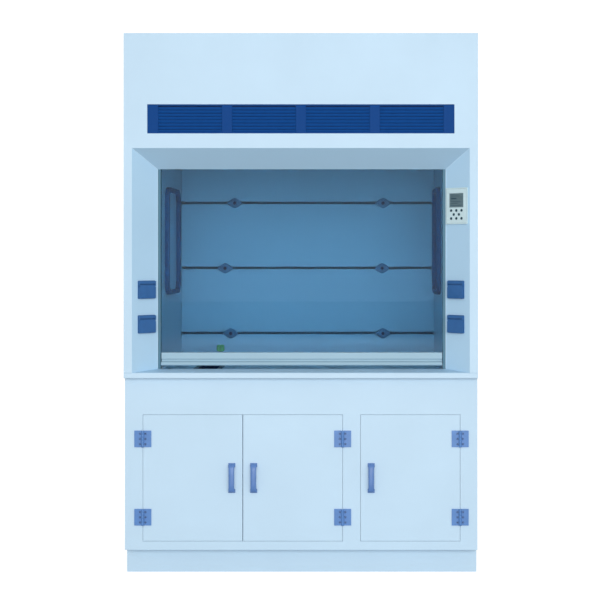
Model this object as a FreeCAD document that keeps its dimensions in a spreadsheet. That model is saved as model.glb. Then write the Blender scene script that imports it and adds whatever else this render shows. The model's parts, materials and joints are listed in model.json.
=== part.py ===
import FreeCAD, Part
import math
import os
import re

import Sketcher

# A free-standing laboratory fume cupboard in welded polypropylene sheet, in millimetres.
# The origin is on the floor under the middle of the cabinet: +X to the user's right,
# +Y towards the back wall and +Z up, so that the front faces -Y.

V = FreeCAD.Vector
doc = FreeCAD.newDocument("fume_cupboard")
dims = doc.addObject("Spreadsheet::Sheet", "dims")
nodes = []

# Driving dimensions. Every name is the alias of one cell.
DIMENSIONS = {
    # whole cabinet
    "half_width": 750,
    "half_depth": 425,
    "cabinet_top": 2300,
    "collar_rise": 50,
    "sheet": 10,
    "liner_sheet": 8,
    # how far a cutting tool runs past the faces that it cuts, and the play round a loose fit
    "cut_over": 1,
    "fit_play": 0.2,
    # base cabinet
    "plinth_height": 105,
    "plinth_setback": 80,
    "base_setback": 30,
    "base_rear_inset": 20,
    "base_top": 838,
    "frame_depth": 28,
    "rebate_depth": 18,
    "rebate_ledge": 10,
    "mullion_width": 30,
    "partition_x": 215,
    "shelf_z": 430,
    "shelf_front_inset": 60,
    "cleat_size": 15,
    # doors
    "left_hinge_edge": -673,
    "middle_hinge_edge": 176,
    "right_hinge_edge": 676,
    "door_width": 423,
    "door_bottom": 143,
    "door_height": 537,
    "door_gap": 1,
    "door_thickness": 16,
    "door_skin": 8,
    "door_rim": 12,
    "door_edge_radius": 0.8,
    # door handles
    "handle_inset": 45,
    "handle_z": 411.5,
    "handle_length": 127,
    "handle_width": 30,
    "handle_projection": 28,
    "handle_grip": 9,
    "handle_foot": 17,
    "handle_slope": 9,
    "handle_radius": 3,
    # butt hinges
    "hinge_low_z": 245,
    "hinge_high_z": 578,
    "hinge_height": 70,
    "leaf_width": 36,
    "leaf_thickness": 4,
    "knuckle_radius": 6,
    "knuckle_standoff": 6.5,
    "knuckle_gap": 0.4,
    "hinge_pin_radius": 2.5,
    "hinge_pin_clearance": 0.1,
    "screw_column": 11.5,
    "screw_pitch": 22,
    "screw_radius": 2.2,
    "screw_head_radius": 4.4,
    "screw_head_depth": 2.2,
    "screw_clearance": 0.05,
    # worktop
    "worktop_thickness": 23,
    "dish_depth": 6,
    "dish_half_width": 597,
    "dish_front": -300,
    "dish_rear": 268,
    "worktop_nose_radius": 2.5,
    # front opening and its splayed surround
    "opening_half": 715,
    "opening_top": 1813,
    "throat_half": 619,
    "throat_top": 1728,
    "surround_depth": 80,
    "surround_sheet": 8,
    "sill_setback": 4,
    "sill_edge": 1,
    "sill_rise": 10,
    # bypass louvre
    "louvre_half": 650,
    "louvre_bottom": 1875,
    "louvre_top": 1998,
    "louvre_recess": 4,
    "louvre_depth": 14,
    "louvre_rail": 6,
    "louvre_post_width": 42,
    "louvre_post_pitch": 313,
    "slat_thickness": 2.5,
    "slat_depth": 13,
    "slat_tilt": 50,
    "slat_end_inset": 1,
    "slat_setback": 1.5,
    "slat_share": 0.55,
    # sash and its guides
    "glass_y": -328,
    "glass_thickness": 5,
    "glass_half": 626,
    "glass_bottom": 905,
    "glass_top": 1761,
    "rail_half": 603,
    "rail_bottom": 886,
    "rail_top": 941,
    # the rail's section: depths in front of the glass's middle, heights over the rail's foot
    "rail_rear": 10,
    "rail_face": 15,
    "rail_nose": 28,
    "rail_groove": 9,
    "nose_chamfer": 4,
    "nose_height": 9,
    "nose_slope": 6,
    "nose_slope_top": 15,
    "groove_bottom": 18,
    "groove_top": 25,
    "face_bottom": 28,
    "guide_mouth_x": 606,
    "guide_outer_x": 650,
    "guide_half_depth": 17,
    "guide_wall": 4,
    "guide_lip": 10,
    "guide_mouth": 8,
    "guide_top": 2150,
    "shoe_inner_x": 617.5,
    "shoe_outer_x": 644.5,
    "shoe_half_depth": 11.5,
    "shoe_height": 60,
    "low_shoe_z": 900,
    "high_shoe_z": 1610,
    "stop_clearance": 0.5,
    "stop_half_depth": 11,
    "stop_height": 30,
    "stop_glass_gap": 3,
    "sash_travel": 500,
    # pulleys, shaft, cables and counterweights
    "cable_x": 637,
    "cable_radius": 2,
    "pulley_pitch_radius": 60,
    "pulley_rim_radius": 64,
    "pulley_z": 2218,
    "pulley_half_width": 7,
    "groove_clearance": 0.3,
    "groove_flare": 1.5,
    "shaft_radius": 8,
    "shaft_half_length": 653,
    "shaft_clearance": 0.05,
    "bracket_inner_x": 623,
    "bracket_outer_x": 651,
    "bracket_half_depth": 20,
    "bracket_bottom": 2198,
    "bracket_plate": 4,
    "weight_top": 2130,
    "weight_height": 460,
    "weight_half_width": 15,
    "weight_half_depth": 35,
    # chamber lining
    "liner_x": 605,
    "ceiling_z": 2180,
    "hatch_front": -234,
    "hatch_rear": 126,
    "hatch_bottom": 1185,
    "hatch_top": 1659,
    "hatch_radius": 60,
    "seal_width": 18,
    "seal_rise": 20,
    "hatch_lap": 9,
    "hatch_clearance": 1,
    # baffles
    "baffle_y": 275,
    "baffle_sheet": 6,
    "baffle_half": 604,
    "baffle_bottom": 884,
    "baffle_top": 2100,
    "slot_height": 12,
    "low_slot_z": 986,
    "middle_slot_z": 1297,
    "high_slot_z": 1608,
    "knob_drop": 1.5,
    "knob_half_width": 44,
    "knob_half_height": 26,
    "knob_tip_radius": 8,
    "knob_wing_height": 12,
    "knob_boss_radius": 16,
    "knob_height": 20,
    "knob_socket_radius": 8,
    "knob_socket_depth": 8,
    "stud_radius": 4,
    "stud_washer_radius": 19,
    "stud_washer": 4,
    # exhaust collar
    "collar_y": 240,
    "collar_radius": 125,
    "collar_wall": 5,
    "collar_flange_radius": 155,
    "collar_flange": 8,
    # lamp
    "lamp_half_length": 320,
    "lamp_half_width": 70,
    "lamp_height": 70,
    "lamp_wall": 3,
    "lamp_opening_inset": 20,
    "lamp_cover": 8,
    # cup sink and trap
    "sink_x": -423,
    "sink_front": -287,
    "sink_rear": 13,
    "sink_half_width": 60,
    "sink_flange": 5,
    "sink_flange_width": 12,
    "sink_wall": 4,
    "sink_depth": 140,
    "sink_play": 0.5,
    "drain_radius": 20,
    "drain_wall": 3,
    "drain_pipe_radius": 22,
    "drain_play": 1,
    "trap_radius": 36,
    "trap_top": 668,
    "trap_bottom": 560,
    "trap_outlet_z": 640,
    # tap
    "tap_x": -392,
    "tap_y": 45,
    "tap_flange_radius": 23,
    "tap_flange": 6,
    "tap_column_radius": 13,
    "tap_top": 912,
    "tap_stem_radius": 4,
    "tap_stem_inset": 6,
    "tap_shank_radius": 12,
    "tap_nut_radius": 18,
    "tap_nut": 8,
    "supply_z": 800,
    "supply_radius": 10.5,
    "spout_radius": 8,
    "spout_bore": 5,
    "spout_z": 888,
    "spout_reach": 70,
    "spout_tip_z": 866,
    "tap_knob_radius": 18,
    "tap_knob_bottom": 915,
    "tap_knob_top": 948,
    "tap_knob_slope": 6,
    "tap_knob_crown": 4,
    "knob_play": 0.1,
    "knob_roof_gap": 0.5,
    # controller and sockets, measured along the splayed side panels
    "controller_shift": -3,
    "controller_half_width": 56,
    "controller_bottom": 1492,
    "controller_top": 1647,
    "controller_rise": 6,
    "controller_box_half": 35,
    "controller_box_depth": 22,
    "controller_box_inset": 12,
    "display_half_width": 34.5,
    "display_bottom": 1565,
    "display_top": 1622,
    "display_setback": 0.3,
    "display_glass": 2,
    "controller_radius": 3,
    "key_radius": 5.5,
    "key_clearance": 0.4,
    "key_rise": 2,
    "key_depth": 3.5,
    "key_chamfer": 0.8,
    "key_pocket": 6,
    "key_pitch": 27,
    "key_row_pitch": 17,
    "key_top_row_z": 1550,
    "socket_high_z": 1212.5,
    "socket_low_z": 1065.5,
    "socket_half_width": 41.5,
    "socket_inset": 7,
    "socket_height": 77,
    "socket_plate": 4,
    "socket_hinge_height": 19,
    "socket_lid_rise": 12,
    "socket_lid_wall": 2.5,
    "socket_lid_gap": 0.5,
    "socket_block_gap": 6,
    "socket_block_margin": 2,
    "socket_radius": 4,
    "socket_cheek": 4,
    "lid_margin": 1,
    "lid_barrel_height": 7,
    "lid_barrel_gap": 0.5,
    "lid_cheek_drop": 3.2,
    "lid_pin_drop": 1,
    "lid_pin_inset": 1,
    "lid_corner_zone": 2,
    "socket_box_half": 30,
    "socket_box_depth": 34,
    "socket_insert_half": 20,
    "socket_insert_drop": 2,
    "socket_insert_rise": 3,
    "outlet_hole_spread": 9,
    "outlet_hole_drop": 6,
    "outlet_hole_half_width": 1.6,
    "outlet_hole_half_height": 4,
    "outlet_hole_depth": 12,
    "lid_pin_radius": 2,
    "lid_pin_clearance": 0.1,
    # cable gland in the back panel
    "gland_x": 560,
    "gland_z": 2240,
    "gland_radius": 12,
    "gland_bore": 6,
    "gland_nut_radius": 16,
    "gland_nut": 6,
}


# --- The dimension sheet and expressions on it ---

def fill_sheet():
    """Write each dimension's name and number into one row, and give the number its alias."""
    for row, (name, size) in enumerate(DIMENSIONS.items(), start=1):
        dims.set("A%d" % row, name)
        dims.set("B%d" % row, str(size))
        dims.setAlias("B%d" % row, name)
    doc.recompute()


def bound(text):
    """Turn a sum of dimension names into an expression on the sheet."""
    return re.sub(r"\b([a-z][a-z0-9_]*)\b(?!\s*\()", r"dims.\1", str(text))


def number(text):
    """The present value of such a sum."""
    return float(dims.evalExpression(bound(text)))


def centred(half, middle="0"):
    """The span from middle - half to middle + half."""
    return "(%s) - (%s)" % (middle, half), "(%s) + (%s)" % (middle, half)


def beyond(level):
    """A little past a level, for a tool that has to cut right through."""
    return "%s + cut_over" % level


def short_of(level):
    """A little before a level, for a tool that has to cut right through."""
    return "%s - cut_over" % level


def through(low, high):
    """A span that runs past both faces."""
    return short_of(low), beyond(high)


def opposite(span):
    """The same span on the other side of the cabinet's middle."""
    low, high = span
    return "-(%s)" % high, "-(%s)" % low


def node(piece):
    """Register a finished sub-part, which is written to a file named by its Label."""
    nodes.append(piece)
    return piece


# --- Primitives and booleans ---

def box(label, x, y, z):
    """A board or block that fills three spans, each a pair (low, high)."""
    piece = doc.addObject("Part::Box", label)
    for size, axis, (low, high) in zip(("Length", "Width", "Height"), "xyz", (x, y, z)):
        piece.setExpression(size, bound("(%s) - (%s)" % (high, low)))
        piece.setExpression("Placement.Base." + axis, bound(low))
    return piece


AXIS_TURNS = {
    "x": FreeCAD.Rotation(V(0, 1, 0), 90),
    "y": FreeCAD.Rotation(V(1, 0, 0), -90),
    "z": FreeCAD.Rotation(),
}


def lay_along(piece, axis, along, at):
    """Lay a primitive that grows along Z on another axis: along is its span, at its centre."""
    low, high = along
    spots = list(at)
    spots.insert("xyz".index(axis), low)
    piece.Placement = FreeCAD.Placement(V(), AXIS_TURNS[axis])
    piece.setExpression("Height", bound("(%s) - (%s)" % (high, low)))
    for letter, spot in zip("xyz", spots):
        piece.setExpression("Placement.Base." + letter, bound(spot))


def rod(label, axis, radius, along, at):
    """A cylinder along one axis."""
    piece = doc.addObject("Part::Cylinder", label)
    piece.setExpression("Radius", bound(radius))
    lay_along(piece, axis, along, at)
    return piece


def taper(label, axis, low_radius, high_radius, along, at):
    """A cone frustum along one axis."""
    piece = doc.addObject("Part::Cone", label)
    piece.setExpression("Radius1", bound(low_radius))
    piece.setExpression("Radius2", bound(high_radius))
    lay_along(piece, axis, along, at)
    return piece


def fuse(label, *pieces):
    """Join pieces into one solid."""
    joined = doc.addObject("Part::MultiFuse", label)
    joined.Shapes = list(pieces)
    joined.Refine = True
    return joined


def cut(label, base, *tools):
    """Take one or more tools away from a piece."""
    result = doc.addObject("Part::Cut", label)
    result.Base = base
    result.Tool = tools[0] if len(tools) == 1 else fuse(label + "_tools", *tools)
    return result


def group(label, *pieces):
    """Keep several separate solids together as one sub-part."""
    together = doc.addObject("Part::Compound", label)
    together.Links = list(pieces)
    return together


def mirrored(piece):
    """The piece's mirror image on the other side of the cabinet's middle."""
    twin = doc.addObject("Part::Mirroring", piece.Label + "_mirrored")
    twin.Source = piece
    twin.Normal = V(1, 0, 0)
    return twin


def pair(label, piece):
    """A piece and its mirror image as one sub-part."""
    return group(label, piece, mirrored(piece))


# --- Bodies, outlines and features ---

# Each plane's role, and the sense of its normal along the axis that it leaves out.
PLANES = {"xy": ("XY_Plane", 1), "xz": ("XZ_Plane", -1), "yz": ("YZ_Plane", 1)}


def new_body(label):
    return doc.addObject("PartDesign::Body", label)


def rectangle(across, up):
    """The corners of a rectangle from its two spans."""
    (left, right), (low, high) = across, up
    return [(left, low), (right, low), (right, high), (left, high)]


def pin_corner(sketch, index, kind, axis, size, text):
    """Hold one coordinate of a corner to its expression, or to the axis where it is zero."""
    if abs(size) < 1e-9:
        sketch.addConstraint(Sketcher.Constraint("PointOnObject", index, 1, axis))
        return
    place = sketch.addConstraint(Sketcher.Constraint(kind, -1, 1, index, 1, size))
    sketch.setExpression("Constraints[%d]" % place, bound(text))


def outline(body, label, plane, level, corners):
    """A closed outline of straight sides on one of the body's planes, moved to a level."""
    role, sense = PLANES[plane]
    sketch = body.newObject("Sketcher::SketchObject", label)
    base_plane = next(item for item in body.Origin.OriginFeatures if item.Role == role)
    sketch.AttachmentSupport = [(base_plane, "")]
    sketch.MapMode = "FlatFace"
    sketch.setExpression("AttachmentOffset.Base.z", bound("%d * (%s)" % (sense, level)))
    spots = [V(number(across), number(up), 0) for across, up in corners]
    count = len(spots)
    for index in range(count):
        sketch.addGeometry(Part.LineSegment(spots[index], spots[(index + 1) % count]), False)
    for index in range(count):
        sketch.addConstraint(Sketcher.Constraint("Coincident", index, 2, (index + 1) % count, 1))
    for index, (across, up) in enumerate(corners):
        pin_corner(sketch, index, "DistanceX", -2, spots[index].x, across)
        pin_corner(sketch, index, "DistanceY", -1, spots[index].y, up)
    return sketch


def pad(body, label, plane, span, corners):
    """Add a prism of an outline over a span along the plane's own axis."""
    low, high = span
    level = low if PLANES[plane][1] > 0 else high
    feature = body.newObject("PartDesign::Pad", label)
    feature.Profile = outline(body, label + "_outline", plane, level, corners)
    feature.setExpression("Length", bound("(%s) - (%s)" % (high, low)))
    return feature


def pocket(body, label, plane, span, corners):
    """Take away a prism of an outline over a span, and make sure that it cut something."""
    low, high = span
    level = high if PLANES[plane][1] > 0 else low
    doc.recompute()
    before = body.Shape.Volume
    feature = body.newObject("PartDesign::Pocket", label)
    feature.Profile = outline(body, label + "_outline", plane, level, corners)
    feature.setExpression("Length", bound("(%s) - (%s)" % (high, low)))
    doc.recompute()
    if body.Shape.Volume > before - 1:
        raise RuntimeError("%s cuts nothing" % label)
    return feature


def block(label, plane, span, corners):
    """A body made of one prism."""
    body = new_body(label)
    pad(body, label + "_pad", plane, span, corners)
    return body


def along(axis, near=None):
    """A test for straight edges that run along an axis, and lie where near says."""
    def chosen(edge):
        if not isinstance(edge.Curve, Part.Line):
            return False
        straight = abs(edge.Curve.Direction.dot(axis)) > 0.999
        return straight and (near is None or near(edge.CenterOfMass))
    return chosen


def soften(body, label, radius, chosen):
    """Round those edges of the body that the test picks."""
    doc.recompute()
    base = body.Tip
    names = ["Edge%d" % (i + 1) for i, edge in enumerate(base.Shape.Edges) if chosen(edge)]
    fillet = body.newObject("PartDesign::Fillet", label)
    fillet.Base = (base, names)
    fillet.setExpression("Radius", bound(radius))
    return fillet


def rounded_panel(label, span, y, z, radius):
    """A sheet across X with rounded corners."""
    body = block(label, "yz", span, rectangle(y, z))
    soften(body, label + "_corners", radius, along(V(1, 0, 0)))
    return body


def turned(label, corners):
    """A body turned about its own Z axis from a profile of (radius, height) corners."""
    body = new_body(label)
    profile = outline(body, label + "_profile", "xz", "0", corners)
    feature = body.newObject("PartDesign::Revolution", label + "_turning")
    feature.Profile = profile
    feature.ReferenceAxis = (profile, ["V_Axis"])
    feature.Angle = 360
    return body


def place(piece, x="0", y="0", z="0", turn=None):
    """Bind a piece's place to the sheet, and turn it about its own origin if asked."""
    if turn is not None:
        piece.Placement = FreeCAD.Placement(V(), turn)
    for axis, text in zip("xyz", (x, y, z)):
        piece.setExpression("Placement.Base." + axis, bound(text))
    return piece


def elbow(label, radius, x, y, z):
    """A ball that rounds the bend between two rods of its radius."""
    ball = doc.addObject("Part::Sphere", label)
    ball.setExpression("Radius", bound(radius))
    return place(ball, x, y, z)


# --- Levels and faces shared by many sub-parts ---

FRONT = "-half_depth"
REAR = "half_depth"
BASE_FRONT = "base_setback - half_depth"
BASE_REAR = "half_depth - base_rear_inset"
BASE_BACK_FRONT = "half_depth - base_rear_inset - sheet"
PLINTH_FRONT = "plinth_setback - half_depth"
FRAME_REAR = "base_setback + frame_depth - half_depth"
WORKTOP_TOP = "base_top + worktop_thickness"
DISH_TOP = "base_top + worktop_thickness - dish_depth"
FASCIA_REAR = "sheet - half_depth"
THROAT_Y = "surround_depth - half_depth"
BACK_FRONT = "half_depth - sheet"
GUIDE_REAR = "glass_y + guide_half_depth"
LINER_OUTER = "liner_x + liner_sheet"
ROOF_BOTTOM = "cabinet_top - sheet"
PULLEY_Y = "glass_y + pulley_pitch_radius"
WEIGHT_Y = "glass_y + 2 * pulley_pitch_radius"
HINGE_AXIS_Y = "base_setback - half_depth - knuckle_standoff"
DOOR_TOP = "door_bottom + door_height"


# --- Base cabinet ---

def make_plinth():
    """A ring of boards with a rib down the middle, open below."""
    outer = box("plinth_blank", centred("half_width"), (PLINTH_FRONT, BASE_REAR), ("0", "plinth_height"))
    bay_y = (PLINTH_FRONT + " + sheet", BASE_BACK_FRONT)
    bay_z = through("0", "plinth_height")
    right = box("plinth_bay_right", ("sheet / 2", "half_width - sheet"), bay_y, bay_z)
    left = box("plinth_bay_left", ("sheet - half_width", "-sheet / 2"), bay_y, bay_z)
    return node(cut("plinth", outer, right, left))


def make_base_floor():
    return node(box("base_floor", centred("half_width - sheet"), (FRAME_REAR, BASE_BACK_FRONT),
                    ("plinth_height", "plinth_height + sheet")))


def make_base_uprights():
    """Two sides and the partition between the double and the single cupboard."""
    y = (FRAME_REAR, BASE_REAR)
    z = ("plinth_height", "base_top")
    right = box("base_side_right", ("half_width - sheet", "half_width"), y, z)
    left = box("base_side_left", ("-half_width", "sheet - half_width"), y, z)
    partition = box("base_partition", centred("sheet / 2", "partition_x"), (FRAME_REAR, BASE_BACK_FRONT),
                    ("plinth_height + sheet", "base_top"))
    return node(group("base_uprights", right, left, partition))


def door_opening(low_edge, high_edge):
    """The spans of an opening with the door gap all round."""
    x = ("%s - door_gap" % low_edge, "%s + door_gap" % high_edge)
    z = ("door_bottom - door_gap", DOOR_TOP + " + door_gap")
    return x, z


def make_face_frame():
    """The flat front of the base cabinet, rebated so that the doors lie flush with it."""
    body = block("face_frame", "xz", (BASE_FRONT, FRAME_REAR),
                 rectangle(centred("half_width"), ("plinth_height", "base_top")))
    double_x, z = door_opening("left_hinge_edge", "middle_hinge_edge")
    single_x, z = door_opening("right_hinge_edge - door_width", "right_hinge_edge")
    rebate = (BASE_FRONT, BASE_FRONT + " + rebate_depth")
    pocket(body, "double_rebate", "xz", rebate, rectangle(double_x, z))
    pocket(body, "single_rebate", "xz", rebate, rectangle(single_x, z))
    meeting = "left_hinge_edge + door_width + door_gap / 2"
    whole_depth = (BASE_FRONT, FRAME_REAR)
    ledge_z = (z[0] + " + rebate_ledge", z[1] + " - rebate_ledge")
    spans = [
        ("left_way", double_x[0] + " + rebate_ledge", meeting + " - mullion_width / 2"),
        ("middle_way", meeting + " + mullion_width / 2", double_x[1] + " - rebate_ledge"),
        ("right_way", single_x[0] + " + rebate_ledge", single_x[1] + " - rebate_ledge"),
    ]
    for label, low, high in spans:
        pocket(body, label, "xz", whole_depth, rectangle((low, high), ledge_z))
    return node(body)


def make_shelves():
    """One loose shelf in each cupboard, with the cleats that it rests on."""
    y = (FRAME_REAR + " + shelf_front_inset", BASE_BACK_FRONT)
    bays = {
        "double": ("sheet - half_width", "partition_x - sheet / 2"),
        "single": ("partition_x + sheet / 2", "half_width - sheet"),
    }
    pieces = []
    for name, (low, high) in bays.items():
        pieces.append(box(name + "_shelf", (low, high), y, ("shelf_z", "shelf_z + sheet")))
        cleat_z = ("shelf_z - cleat_size", "shelf_z")
        pieces.append(box(name + "_cleat_left", (low, low + " + cleat_size"), y, cleat_z))
        pieces.append(box(name + "_cleat_right", (high + " - cleat_size", high), y, cleat_z))
    return node(group("shelves", *pieces))


def make_back_panels():
    """The backs of the base cabinet and of the upper cabinet."""
    base_y = (BASE_BACK_FRONT, BASE_REAR)
    base_back = box("base_back_blank", centred("half_width - sheet"), base_y, ("plinth_height", "base_top"))
    drain_hole = rod("drain_hole", "y", "drain_pipe_radius + drain_play", through(*base_y),
                     ("sink_x", "trap_outlet_z"))
    supply_hole = rod("supply_hole", "y", "tap_shank_radius + drain_play", through(*base_y),
                      ("tap_x", "supply_z"))
    base_back = cut("base_back", base_back, drain_hole, supply_hole)
    upper = box("upper_back_blank", centred("half_width"), (BACK_FRONT, REAR), (WORKTOP_TOP, "cabinet_top"))
    gland_hole = rod("gland_hole", "y", "gland_radius", through(BACK_FRONT, REAR), ("gland_x", "gland_z"))
    upper = cut("upper_back", upper, gland_hole)
    return node(group("back_panels", base_back, upper))


# --- Doors, handles and hinges ---

DOORS = {
    # name: (hinge edge, +1 where the door lies to the right of its hinge and -1 to its left)
    "left": ("left_hinge_edge", 1),
    "middle": ("middle_hinge_edge", -1),
    "right": ("right_hinge_edge", -1),
}


def free_edge(name):
    """The edge where a door's handle is."""
    hinge_edge, side = DOORS[name]
    return "%s + %d * door_width" % (hinge_edge, side)


def ordered(first, second):
    """The two ends of a span, low end first."""
    return (first, second) if number(first) < number(second) else (second, first)


def make_door(name):
    """A door of thick sheet with a welded rim behind it."""
    hinge_edge, side = DOORS[name]
    x = ordered(hinge_edge, free_edge(name))
    z = ("door_bottom", DOOR_TOP)
    y = (BASE_FRONT, BASE_FRONT + " + door_thickness")
    body = block("door_" + name, "xz", y, rectangle(x, z))
    face = number(BASE_FRONT)
    soften(body, name + "_edges", "door_edge_radius", lambda edge: abs(edge.CenterOfMass.y - face) < 0.01)
    inner_x = (x[0] + " + door_rim", x[1] + " - door_rim")
    inner_z = ("door_bottom + door_rim", DOOR_TOP + " - door_rim")
    tray = body.newObject("PartDesign::Pocket", name + "_tray")
    tray.Profile = outline(body, name + "_tray_outline", "xz", y[1], rectangle(inner_x, inner_z))
    tray.setExpression("Length", bound("door_thickness - door_skin"))
    tray.Reversed = True
    return node(body)


def make_handle(name):
    """A D-handle: two feet and a grip that stands off the door."""
    hinge_edge, side = DOORS[name]
    middle = "%s - %d * handle_inset" % (free_edge(name), side)
    face = BASE_FRONT
    front = BASE_FRONT + " - handle_projection"
    low = "handle_z - handle_length / 2"
    high = "handle_z + handle_length / 2"
    corners = [
        (face, low),
        (face, low + " + handle_foot"),
        (front + " + handle_grip", low + " + handle_foot + handle_slope / 2"),
        (front + " + handle_grip", high + " - handle_foot - handle_slope / 2"),
        (face, high + " - handle_foot"),
        (face, high),
        (front, high + " - handle_slope"),
        (front, low + " + handle_slope"),
    ]
    body = block("door_handle_" + name, "yz", centred("handle_width / 2", middle), corners)
    off_door = number(face) - 0.5
    soften(body, name + "_handle_rounding", "handle_radius",
           lambda edge: edge.CenterOfMass.y < off_door)
    return node(body)


KNUCKLES = 5


def knuckle_span(middle, index, trim):
    """The span of one of the knuckles that share the hinge's height, trimmed for clearance."""
    low = "%s - hinge_height / 2 + %d * hinge_height / %d" % (middle, index, KNUCKLES)
    high = "%s - hinge_height / 2 + %d * hinge_height / %d" % (middle, index + 1, KNUCKLES)
    return "%s + %s" % (low, trim), "%s - %s" % (high, trim)


def make_leaf(label, axis_x, middle, side, knuckles):
    """One hinge leaf with its knuckles, screwed flat to the face, and its three screws."""
    face = BASE_FRONT
    front = BASE_FRONT + " - leaf_thickness"
    edge = "%s + %d * leaf_width" % (axis_x, side)
    root = "%s + %d * (knuckle_radius + knuckle_gap)" % (axis_x, side)
    plate = box(label + "_plate", ordered(root, edge), (front, face), centred("hinge_height / 2", middle))
    axis_at = (axis_x, HINGE_AXIS_Y)
    web_y = (front, HINGE_AXIS_Y + " + leaf_thickness")
    bits = [plate]
    for index in knuckles:
        z = knuckle_span(middle, index, "knuckle_gap / 2")
        bits.append(rod("%s_knuckle_%d" % (label, index), "z", "knuckle_radius", z, axis_at))
        bits.append(box("%s_web_%d" % (label, index), ordered(axis_x, edge), web_y, z))
    bore = rod(label + "_bore", "z", "hinge_pin_radius + hinge_pin_clearance",
               centred("hinge_height / 2 + cut_over", middle), axis_at)
    tools = [bore]
    screws = []
    sink_y = (front, front + " + screw_head_depth")
    column = "%s + %d * screw_column" % (axis_x, side)
    for index in (-1, 0, 1):
        at = (column, "%s + %d * screw_pitch" % (middle, index))
        hole_y = (front, beyond(face))
        tools.append(rod("%s_hole_%d" % (label, index), "y", "screw_radius", hole_y, at))
        tools.append(taper("%s_sink_%d" % (label, index), "y", "screw_head_radius", "screw_radius",
                           sink_y, at))
        head = taper("%s_head_%d" % (label, index), "y", "screw_head_radius - screw_clearance",
                     "screw_radius - screw_clearance", sink_y, at)
        shank = rod("%s_shank_%d" % (label, index), "y", "screw_radius - screw_clearance",
                    (sink_y[1], face), at)
        screws.append(fuse("%s_screw_%d" % (label, index), head, shank))
    return [cut(label, fuse(label + "_blank", *bits), *tools)] + screws


def make_hinges():
    """Two butt hinges a door: leaves with odd knuckles on the frame, even ones on the door."""
    frame_bits = []
    for name, (hinge_edge, side) in DOORS.items():
        axis_x = "%s - %d * door_gap / 2" % (hinge_edge, side)
        door_bits = []
        for level, middle in (("low", "hinge_low_z"), ("high", "hinge_high_z")):
            label = "%s_%s" % (name, level)
            frame_bits += make_leaf(label + "_frame_leaf", axis_x, middle, -side, (0, 2, 4))
            door_bits += make_leaf(label + "_door_leaf", axis_x, middle, side, (1, 3))
            frame_bits.append(rod(label + "_pin", "z", "hinge_pin_radius",
                                  centred("hinge_height / 2", middle), (axis_x, HINGE_AXIS_Y)))
        node(group("hinge_leaves_" + name, *door_bits))
    node(group("hinge_leaves_frame", *frame_bits))


# --- Worktop, sink and tap ---

def oval(label, half_width, y, z):
    """A block with round ends, long from front to back, about the sink's middle."""
    front, rear = y
    straight = box(label + "_middle", centred(half_width, "sink_x"),
                   ("%s + %s" % (front, half_width), "%s - (%s)" % (rear, half_width)), z)
    front_end = rod(label + "_front", "z", half_width, z, ("sink_x", "%s + %s" % (front, half_width)))
    rear_end = rod(label + "_rear", "z", half_width, z, ("sink_x", "%s - (%s)" % (rear, half_width)))
    return fuse(label, straight, front_end, rear_end)


def front_edge(level):
    """The choice of a piece's front edge at a height."""
    y = number(FRONT)
    z = number(level)
    return along(V(1, 0, 0), lambda at: abs(at.y - y) < 0.01 and abs(at.z - z) < 0.01)


def make_worktop():
    """A slab with the sink and tap holes, and a welded rim round it that makes a dish for spills."""
    slab_z = ("base_top", DISH_TOP)
    blank = block("worktop_blank", "xy", slab_z, rectangle(centred("half_width"), (FRONT, REAR)))
    soften(blank, "worktop_lower_nose", "worktop_nose_radius", front_edge("base_top"))
    hole_half = "sink_half_width - sink_flange_width + sink_play"
    hole_y = ("sink_front + sink_flange_width - sink_play", "sink_rear - sink_flange_width + sink_play")
    sink_hole = oval("worktop_sink_hole", hole_half, hole_y, through(*slab_z))
    tap_hole = rod("worktop_tap_hole", "z", "tap_shank_radius + sink_play", through(*slab_z),
                   ("tap_x", "tap_y"))
    slab = cut("worktop_slab", blank, sink_hole, tap_hole)
    rim_z = (DISH_TOP, WORKTOP_TOP)
    front_rim = block("worktop_rim_front", "xy", rim_z,
                      rectangle(centred("half_width"), (FRONT, "dish_front")))
    soften(front_rim, "worktop_upper_nose", "worktop_nose_radius", front_edge(WORKTOP_TOP))
    rear_rim = box("worktop_rim_rear", centred("half_width"), ("dish_rear", REAR), rim_z)
    side_rim = box("worktop_rim_right", ("dish_half_width", "half_width"), ("dish_front", "dish_rear"), rim_z)
    return node(group("worktop", slab, front_rim, rear_rim, pair("worktop_rim_sides", side_rim)))


def make_cup_sink():
    """An oval cup with a flange on the worktop and a threaded tail below."""
    flange = oval("sink_flange_blank", "sink_half_width", ("sink_front", "sink_rear"),
                  (DISH_TOP, DISH_TOP + " + sink_flange"))
    bowl_y = ("sink_front + sink_flange_width", "sink_rear - sink_flange_width")
    bottom = DISH_TOP + " - sink_depth"
    rim = DISH_TOP + " + sink_flange"
    bowl = oval("sink_bowl_blank", "sink_half_width - sink_flange_width", bowl_y, (bottom, rim))
    middle_y = "(sink_front + sink_rear) / 2"
    tail = rod("sink_tail", "z", "drain_radius", ("trap_top", bottom), ("sink_x", middle_y))
    inside_y = (bowl_y[0] + " + sink_wall", bowl_y[1] + " - sink_wall")
    floor = bottom + " + sink_wall"
    hollow = oval("sink_hollow", "sink_half_width - sink_flange_width - sink_wall", inside_y,
                  (floor, beyond(rim)))
    drain = rod("sink_drain", "z", "drain_radius - drain_wall", through("trap_top", floor),
                ("sink_x", middle_y))
    return node(cut("cup_sink", fuse("sink_solid", flange, bowl, tail), hollow, drain))


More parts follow.
